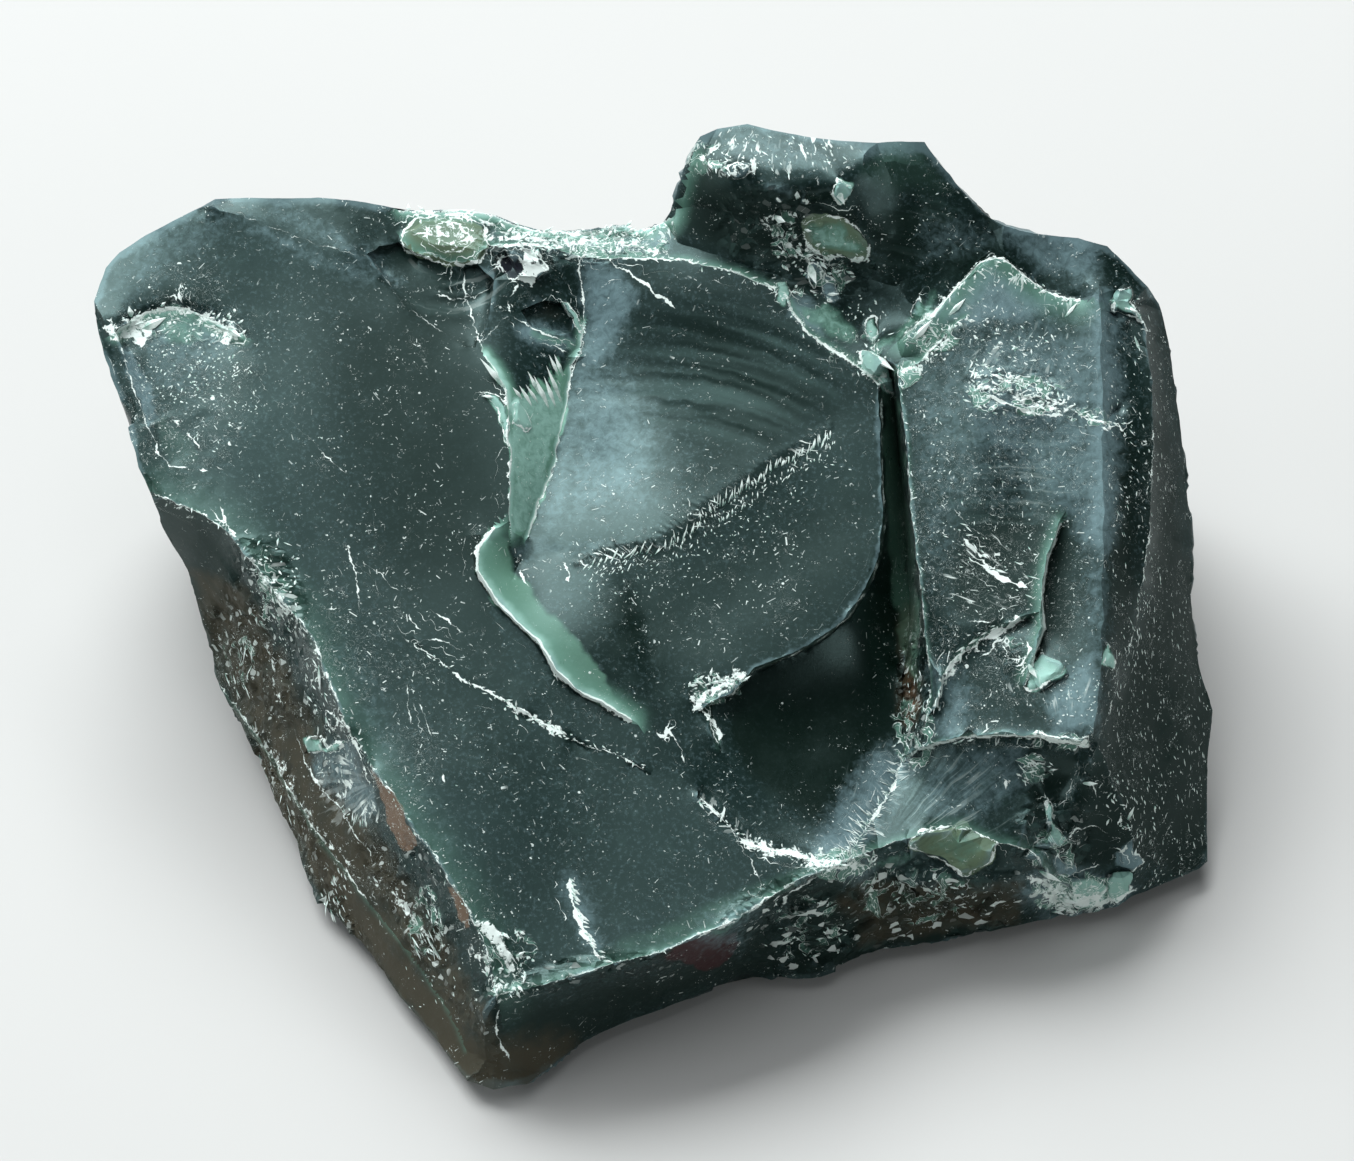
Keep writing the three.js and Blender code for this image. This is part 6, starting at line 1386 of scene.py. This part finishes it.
def bright_lines(n, place, blur):
    """Crisp white lines of uneven width along the edges that catch the light."""
    swell = n.times(n.ramp(n.noise(place, 420, 3), 0.38, 0.66, 0.3, 1.3),
                    n.ramp(n.noise(place, 90, 2), 0.36, 0.56, 0.35, 1.0))
    gap = n.math("ABSOLUTE", n.plus(n.painted("line_gap"), n.swing(blur, 1.1)))
    return n.ramp(n.math("SUBTRACT", n.times(n.painted("line_width"), swell), gap), 0.0, 0.1)


def streaks(n, mottle, clusters):
    """Crisp and soft streaks that fan out from where the block was struck; on the ripples, the soft bands are painted
    sheen and shade.
    """
    flow = n.add("ShaderNodeCombineXYZ", X=n.painted("streak_across"), Y=n.painted("streak_along"))
    comb = n.add("ShaderNodeTexNoise", Vector=flow.outputs[0], Scale=1.0, Detail=2.0, Roughness=0.6, Distortion=0.2)
    comb.noise_dimensions = "2D"
    comb = comb.outputs["Fac"]
    force, soft = n.painted("streak"), n.painted("streak_soft")
    patchy = n.plus(force, n.swing(mottle, 0.9))
    level = n.plus(comb, n.times(n.math("SUBTRACT", patchy, 1.0), 0.16))
    crisp = n.times(n.ramp(level, 0.54, 0.61), n.math("SUBTRACT", 1.0, soft), n.ramp(force, 0.02, 0.3),
                    n.ramp(clusters, 0.42, 0.58, 0.12, 1.0))
    misty = n.times(soft, patchy)
    faint = n.math("MULTIPLY", n.ramp(comb, 0.44, 0.7), misty, clamp=True)
    return crisp, faint, n.math("MULTIPLY", n.ramp(comb, 0.54, 0.36), misty, clamp=True)


def crushed_flakes(n, place, mottle):
    """Curled, overlapping flakes: their white rims and pale bodies."""
    curled = n.noise(warped(n, place, 300, 0.0012), 380, 1.5, 0.5, 1.0)
    crushed = n.painted("crushed")
    there = n.times(n.ramp(n.plus(crushed, n.swing(mottle, 2.2)), 0.3, 0.75), n.ramp(crushed, 0.02, 0.2))
    rims = n.most(thread(n, curled, 0.5, 0.014, 0.005), thread(n, curled, 0.61, 0.012, 0.004))
    return n.times(rims, there), n.times(n.ramp(curled, 0.46, 0.53), there)


def specks(n, place):
    """Dust of small white dots, short scratches, curls and threads."""
    dots = n.most(flecks(n, place, 0.0007, 0.00012, 0.26, 3.1), flecks(n, place, 0.0017, 0.00021, 0.16, 7.7))
    strokes = n.most(scratches(n, place, 0.0026, 0.0007, 0.00006, 0.14, 1.3),
                     scratches(n, place, 0.0013, 0.0004, 0.00006, 0.22, 5.9))
    curls = n.ramp(n.noise(place, 1300, 2, 0.6, 1.6), 0.665, 0.72)
    crowd = n.plus(n.painted("dust"), n.swing(n.noise(place, 110, 3), 1.6), n.swing(n.noise(place, 420, 2), 1.8))
    threads = n.times(thread(n, n.noise(place, 620, 2, 0.6, 2.0), 0.5, 0.012, 0.003),
                      n.ramp(crowd, 0.7, 1.2, 0, 0.45))
    return n.most(n.times(n.most(dots, strokes, curls), n.ramp(crowd, 0.2, 0.9)), threads)


def quartz_finish(tones):
    """Dark, waxy, glassy green quartz, pale where thin, white where bruised, with painted shade, sheen, glow and
    glints.
    """
    material, n = finish("green quartz")
    place = n.add("ShaderNodeTexCoord").outputs["Object"]
    clouds = n.noise(place, 38, 4)
    mottle = n.noise(place, 260, 4, 0.6)
    fine = n.noise(place, 1500, 5, 0.7)
    shards = n.noise(place, 800, 3, 0.65, 0.6)
    rough = n.painted("rough")

    def uneven(name, size=0.5, noise=mottle):
        return n.plus(n.painted(name), n.swing(noise, size))

    grained = n.add("ShaderNodeMapping", Vector=warped(n, place, 160, 0.0012), Rotation=(0.6, 0.35, 0.98),
                    Scale=(1.0, 2.6, 1.7)).outputs[0]
    big_height, big_chance = tilted_planes(n, grained, 0.0042)
    small_height, small_chance = tilted_planes(n, grained, 0.0016)
    shade = n.plus(n.times(big_chance["Red"], 0.6), n.times(small_chance["Red"], 0.4))
    splintered = n.ramp(rough, 0.1, 0.8)
    crisp, faint, shady = streaks(n, mottle, n.noise(place, 120, 2))
    rims, bodies = crushed_flakes(n, place, mottle)
    # Painted glow of thin, translucent edges, with the pale green of thin flakes and crushed bodies.
    glow = n.painted("glow")
    glow = n.most(n.plus(glow, n.times(glow, n.swing(mottle, 0.8))),
                  n.ramp(uneven("pale", 0.5, shards), 0.3, 1.2, 0, 1.1), n.times(bodies, 0.62))
    # Ridges of the relief turn milky: chipped edges, and a painted highlight along them.
    keen = n.times(n.ramp(uneven("keen", 0.14, shards), 0.06, 0.17), n.ramp(n.painted("dull"), 0, 1, 0.4, 0.1))
    # Painted glints on a few facets of the rough ground.
    glint = n.times(n.ramp(small_chance["Green"], 0.93, 0.97), n.ramp(rough, 0.4, 1.2, 0, 0.7))
    # White gathers real chips, flecks and crushed rims with painted highlights: the lit rims, the bright lines and
    # the glints.
    white = n.most(n.ramp(uneven("white", 2.2, shards), 0.72, 0.92), n.ramp(uneven("rim", 0.6), 0.55, 0.8, 0, 0.85),
                   bright_lines(n, place, shards), crisp, rims, glint, n.times(specks(n, place), 0.85))

    colour = tones.deep_green
    for share, over in (
        (n.ramp(clouds, 0.35, 0.68), tones.slate_green),
        (n.ramp(mottle, 0.5, 0.8, 0, 0.3), tones.grey_green),
        (n.ramp(fine, 0.5, 0.72, 0, 0.22), tones.milky_and_sheen),
        # Dark ground, mostly painted shade and dark reflection, then painted shade towards some edges.
        (n.times(n.ramp(uneven("dark_and_shade"), 0.2, 0.85), 0.88), tones.black_green),
        (n.ramp(n.painted("shade"), 0, 1, 0, 0.86), tones.black_green),
        (n.times(splintered, n.ramp(shade, 0.45, 0.2, 0, 0.6)), tones.black_green),
        (n.times(splintered, n.ramp(shade, 0.66, 0.86, 0, 0.6)), tones.grey_green),
        (n.times(n.ramp(uneven("earth"), 0.3, 0.75), 0.85), tones.earth_brown),
        (n.times(n.ramp(uneven("rust", 1.0, shards), 0.35, 0.7), 0.9), tones.rust_brown),
        (n.ramp(uneven("garnet"), 0.3, 0.7, 0, 0.9), tones.garnet),
        # Milky, bruised quartz and painted sheen.
        (n.times(n.ramp(uneven("haze_and_sheen", 1.0, shards), 0.15, 1.1), 0.75), tones.milky_and_sheen),
        (n.times(n.ramp(uneven("olive", 0.4), 0.35, 0.6), 0.8), tones.shell_green),
        # Soft streaks: pale in the stone, and painted light and dark bands of the sheen on the shell ripples.
        (n.times(faint, 0.3), tones.streak_and_sheen_green),
        (n.times(shady, 0.7), tones.deep_green),
        (n.times(n.ramp(uneven("jade", 0.25, clouds), 0.15, 1.0), 0.92), tones.jade_green),
        # Painted glow of thin, translucent edges.
        (n.ramp(glow, 0.0, 0.8, 0, 0.9), tones.pale_green),
        (n.ramp(glow, 0.55, 1.1, 0, 0.85), tones.bright_green),
        (n.ramp(uneven("pit", 0.2), 0.4, 0.6), tones.pit_violet),
        (keen, tones.milky_and_sheen),
        (white, tones.chip_white),
    ):
        colour = n.blend(share, colour, over)

    gloss = n.plus(tones.gloss, n.swing(mottle, 0.2), n.times(rough, 0.1), n.times(white, 0.2), n.times(shady, 0.25))
    gloss = n.math("ADD", gloss, n.times(n.painted("dull"), 0.42), clamp=True)
    planes = n.times(n.plus(n.times(big_height, 0.8), n.times(small_height, 0.9)), n.ramp(rough, 0.1, 1.0))
    grit = n.plus(n.times(fine, 0.00003), n.times(shards, n.ramp(rough, 0, 1, 0.00003, 0.00012)),
                  n.times(white, 0.00009), n.times(bodies, 0.00016))
    bump = n.add("ShaderNodeBump", Height=n.plus(planes, grit), Strength=0.6, Distance=1.0)
    close(n, Base_Color=colour, Roughness=gloss, Normal=bump.outputs[0], IOR=QUARTZ_IOR,
          Specular_IOR_Level=0.42, Specular_Tint=(0.62, 0.95, 0.93, 1.0))
    return material


def splinter_finish(tones):
    """Crushed quartz, from pale green to white."""
    material, n = finish("crushed quartz")
    place = n.add("ShaderNodeTexCoord").outputs["Object"]
    cloud = n.noise(place, 700, 3)
    shade = n.plus(n.times(n.painted("tip"), 0.7), n.math("SUBTRACT", cloud, 0.5))
    colour = n.blend(n.ramp(shade, -0.1, 0.5), tones.pale_green, tones.chip_white)
    close(n, Base_Color=colour, Roughness=n.ramp(cloud, 0.3, 0.7, 0.25, 0.5), IOR=QUARTZ_IOR,
          Specular_Tint=(0.62, 0.93, 0.96, 1.0))
    return material


# ---- settings


def tone(name, what, red, green, blue):
    return bpy.props.FloatVectorProperty(name=name, description=what, subtype="COLOR", size=4, min=0, max=1,
                                         default=linear(red, green, blue))


def number(name, what, default, **limits):
    return bpy.props.FloatProperty(name=name, description=what, default=default, **limits)


class QuartzBlockSettings(bpy.types.PropertyGroup):
    """Relief and colours of the block."""

    face_grain: number("Face grain", "Longest skin edge on the smooth parts of the broken face, in mm", 2, min=0.3)
    rough_grain: number("Rough grain", "Longest skin edge on rough and rippled ground, in mm", 1, min=0.3)
    fine_grain: number("Fine grain", "Longest skin edge beside chips and flakes, in mm", 0.62, min=0.2)
    wall_grain: number("Wall grain", "Longest skin edge on the hidden walls, in mm", 1.9, min=0.5)
    sole_grain: number("Sole grain", "Longest skin edge on the sole, in mm", 6, min=1)
    crease_angle: number("Crease angle", "Bends above this angle stay sharp, in degrees", 20, min=5, max=90)
    ripple: number("Shell ripples", "Strength of the ripples in the smooth scoops", 1, min=0)
    comb: number("Splinter fringe", "Height of the splinter fringe below the scoop", 1, min=0)
    chipping: number("Chipping", "Depth of the nicks along ridges and cracks", 1, min=0)
    gloss: number("Surface roughness", "Roughness of the unbroken glassy surface", 0.3, min=0, max=1)
    deep_green: tone("Deep green", "Body colour of the clear quartz", 8, 25, 21)
    slate_green: tone("Slate green", "Body colour of the cloudy quartz", 18, 35, 33)
    grey_green: tone("Grey green", "Mottling", 48, 70, 66)
    # Black green is also the painted shade in hollows and on faces turned from the light.
    black_green: tone("Black green", "Deep, clear hollows", 4, 19, 11)
    # Pale and bright green are the painted glow along thin, translucent edges.
    pale_green: tone("Pale green", "Thin, translucent edges", 94, 136, 120)
    bright_green: tone("Bright green", "Thinnest edges", 160, 204, 192)
    jade_green: tone("Jade green", "Thick translucent edges", 116, 166, 143)
    shell_green: tone("Shell green", "Yellow-green shell flakes", 108, 128, 102)
    # Milky blue is also the painted sheen of the lights and the painted highlight on ridges.
    milky_and_sheen: tone("Milky blue", "Bruised, clouded quartz", 124, 152, 158)
    chip_white: tone("Chip white", "Splinters and flecks", 243, 255, 250)
    # The soft streaks are partly painted sheen bands on the shell ripples.
    streak_and_sheen_green: tone("Misty green", "Soft streaks", 94, 124, 120)
    garnet: tone("Garnet", "Dark red spot on the near side", 58, 16, 20)
    pit_violet: tone("Violet grey", "Floor of the small pit under the rim", 34, 33, 42)
    earth_brown: tone("Earth brown", "Dark stain", 70, 59, 42)
    rust_brown: tone("Rust brown", "Iron stain", 116, 88, 66)


class QuartzSplinterSettings(bpy.types.PropertyGroup):
    """Splinters and chips on the broken face."""

    seed: bpy.props.IntProperty(name="Seed", description="Where the splinters fall", default=7, min=0)
    splinter_size: number("Size", "Size of all splinters against their own", 1, min=0.1)
    splinter_sides: bpy.props.IntProperty(name="Sides", description="Faces round each splinter", default=5, min=3,
                                          max=8)
    splinter_bend: number("Bend", "How far a splinter curls to one side, in half-widths", 0.8)
    splinter_thickness: number("Thickness", "Thickness against width", 0.6, min=0.1)
    splinter_rise: number("Rise", "How steeply a splinter's tip stands off the skin", 0.06, min=0)
    pale_green: tone("Pale green", "Thin splinters", 112, 158, 142)
    chip_white: tone("Chip white", "Crushed splinters", 243, 255, 250)


class QuartzStageSettings(bpy.types.PropertyGroup):
    """Floor, lights and camera."""

    floor_size: number("Floor size", "Side of the square floor", 14, min=1, unit="LENGTH")
    floor_tone: tone("Floor tone", "Colour of the floor", 206, 206, 204)
    lens_distance: number("Camera distance", "From the camera to the block", 4, min=1, unit="LENGTH")
    frame_width: number("Frame width", "Width of the view at the block", 0.2031, min=0.1, unit="LENGTH")


# ---- operators

MOST_TRIANGLES = 199000  # most triangles the skin may have
SHARP_BEND = 38  # the carved skin is shaded sharp where it bends further, degrees
PLAIN_DUST, SIDE_DUST, SIDE_ROUGHNESS = 0.45, 0.4, 0.3  # off the listed spots, and on the hidden sides


class QUARTZ_OT_grow_block(bpy.types.Operator):
    """Grow the block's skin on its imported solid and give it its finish"""

    bl_idname = "quartz.grow_block"
    bl_label = "Grow the block"

    def execute(self, context):
        settings = context.scene.quartz_block
        points, triangles, creases, seen = grow_skin(settings)
        x, y = on_board(points)
        points = carved(points, triangles, seen, settings)
        if len(triangles) > MOST_TRIANGLES:
            raise RuntimeError(f"the skin has {len(triangles)} triangles: coarsen its grain")
        crisp = np.unique(np.vstack([creases, sharp_edges(points, triangles, SHARP_BEND)]), axis=0)
        mesh = mesh_from("broken_block", points, triangles, crisp)
        face = seen.astype(float)
        for colour in PAINTED:
            paint(mesh, colour, brushed(x, y, colour) * face)
        calm = 1 - brushed(x, y, "calm")
        # Painted glow along thin edges with a painted highlight rim on their lit side, and painted shade towards some
        # edges.
        glow, rim = lit(x, y, triangles, LIT_EDGES)
        shade, _ = lit(x, y, triangles, SHADED_EDGES)
        on_face = np.repeat(seen[triangles].all(axis=1), 3)
        for name, values in (("shade", shade), ("glow", glow), ("rim", rim)):
            paint(mesh, name, values * on_face, "CORNER")
        rough = over_spots(x, y, ROUGH_GROUND) * (0.15 + 0.85 * calm)
        gap, width = inked(x, y)
        across, along, streak, softness = streaked(x, y)
        dust = np.full(len(points), PLAIN_DUST)
        for spot in DUST:
            dust += (spot[4] - dust) * plateau(x, y, spot)
        for name, values in (
            ("rough", np.where(seen, rough, SIDE_ROUGHNESS)), ("crushed", over_spots(x, y, CRUSHED) * face),
            ("line_gap", gap), ("line_width", width * face), ("streak_across", across), ("streak_along", along),
            ("streak", streak * face), ("streak_soft", softness),
            ("dust", np.where(seen, dust * (0.7 + 0.3 * calm), SIDE_DUST)), ("keen", keenness(points, triangles)),
        ):
            paint(mesh, name, values)
        block = add_object("broken_block", mesh)
        mesh.materials.append(quartz_finish(settings))
        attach(block, "root")
        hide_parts(SOLID)
        return {"FINISHED"}


class QUARTZ_OT_scatter_splinters(bpy.types.Operator):
    """Strew the loose-edged splinters and chips over the block's skin"""

    bl_idname = "quartz.scatter_splinters"
    bl_label = "Scatter the splinters"

    def execute(self, context):
        settings = context.scene.quartz_splinters
        block = bpy.data.objects.get("broken_block")
        if block is None:
            raise RuntimeError("grow the block first")
        mesh = grown_splinters(splinter_seeds(block, settings), settings)
        splinters = add_object("splinters", mesh)
        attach(splinters, "root")
        return {"FINISHED"}


# Soft lights: name, place and size in metres, power in watts and colour.
LIGHTS = [
    ("window", (-0.62, 1.32, 1.70), (2.2, 1.5), 86, (0.96, 0.99, 1.0)),
    ("sky", (-0.25, -0.1, 2.4), (1.6, 1.4), 10, (0.95, 0.98, 1.0)),
    ("left wall", (-2.3, -0.5, 0.9), (1.8, 1.2), 14, (0.96, 0.99, 1.0)),
    ("right wall", (2.2, -1.2, 1.0), (1.2, 1.0), 9, (0.97, 1.0, 1.0)),
]
LIT_SPOT = Vector((0, 0, 0.03))  # what the lights face
AIM = Vector((3.6, 2.32, 35)) * MM  # what the camera faces
SENSOR = 36  # width of the camera's sensor, mm


def area_light(name, place, size, power, tint):
    lamp = bpy.data.lights.new(name, "AREA")
    lamp.shape, lamp.size, lamp.size_y = "RECTANGLE", size[0], size[1]
    lamp.energy, lamp.color = power, tint
    light = add_object(name, lamp)
    light.location = place
    light.rotation_euler = (LIT_SPOT - Vector(place)).to_track_quat("-Z", "Y").to_euler()


class QUARTZ_OT_set_stage(bpy.types.Operator):
    """Lay the floor, hang the lights and place the camera"""

    bl_idname = "quartz.set_stage"
    bl_label = "Set the stage"

    def execute(self, context):
        settings = context.scene.quartz_stage
        half = settings.floor_size / 2
        mesh = bpy.data.meshes.new("floor")
        mesh.from_pydata([(-half, -half, 0), (half, -half, 0), (half, half, 0), (-half, half, 0)], [], [(0, 1, 2, 3)])
        floor = add_object("floor", mesh)
        floor.location.z = -0.0002
        paper, n = finish("pale paper")
        close(n, Base_Color=settings.floor_tone, Roughness=0.9)
        mesh.materials.append(paper)

        for light in LIGHTS:
            area_light(*light)
        world = bpy.data.worlds.new("room")
        world.use_nodes = True
        walls = world.node_tree.nodes["Background"].inputs
        walls["Color"].default_value, walls["Strength"].default_value = (0.9, 0.95, 1.0, 1), 0.09
        context.scene.world = world
        context.scene.view_settings.view_transform = "Standard"

        lens = bpy.data.cameras.new("camera")
        lens.sensor_width = SENSOR
        lens.lens = SENSOR * settings.lens_distance / settings.frame_width
        lens.clip_end = 50
        camera = add_object("camera", lens)
        camera.location = AIM + Vector(TO_VIEWER) * settings.lens_distance
        camera.rotation_euler = (math.radians(90) - LOOK, 0, 0)
        context.scene.camera = camera
        return {"FINISHED"}


class QUARTZ_PT_panel(bpy.types.Panel):
    """Sidebar panel with the block's and the stage's settings"""

    bl_label = "Raw green quartz"
    bl_idname = "QUARTZ_PT_panel"
    bl_space_type = "VIEW_3D"
    bl_region_type = "UI"
    bl_category = "Quartz"

    def draw(self, context):
        for group, operator in zip(SETTINGS, OPERATORS):
            box, settings = self.layout.box(), getattr(context.scene, group)
            for name in settings.__annotations__:
                box.prop(settings, name)
            box.operator(operator.bl_idname)


SETTINGS = {"quartz_block": QuartzBlockSettings, "quartz_splinters": QuartzSplinterSettings,
            "quartz_stage": QuartzStageSettings}
OPERATORS = (QUARTZ_OT_grow_block, QUARTZ_OT_scatter_splinters, QUARTZ_OT_set_stage)
CLASSES = (*SETTINGS.values(), *OPERATORS, QUARTZ_PT_panel)


def register():
    for cls in CLASSES:
        bpy.utils.register_class(cls)
    for name, cls in SETTINGS.items():
        setattr(bpy.types.Scene, name, bpy.props.PointerProperty(type=cls))


def unregister():
    for name in SETTINGS:
        delattr(bpy.types.Scene, name)
    for cls in reversed(CLASSES):
        bpy.utils.unregister_class(cls)


def main():
    register()
    bpy.ops.quartz.grow_block()
    bpy.ops.quartz.scatter_splinters()
    bpy.ops.quartz.set_stage()


if __name__ == "__main__":
    main()
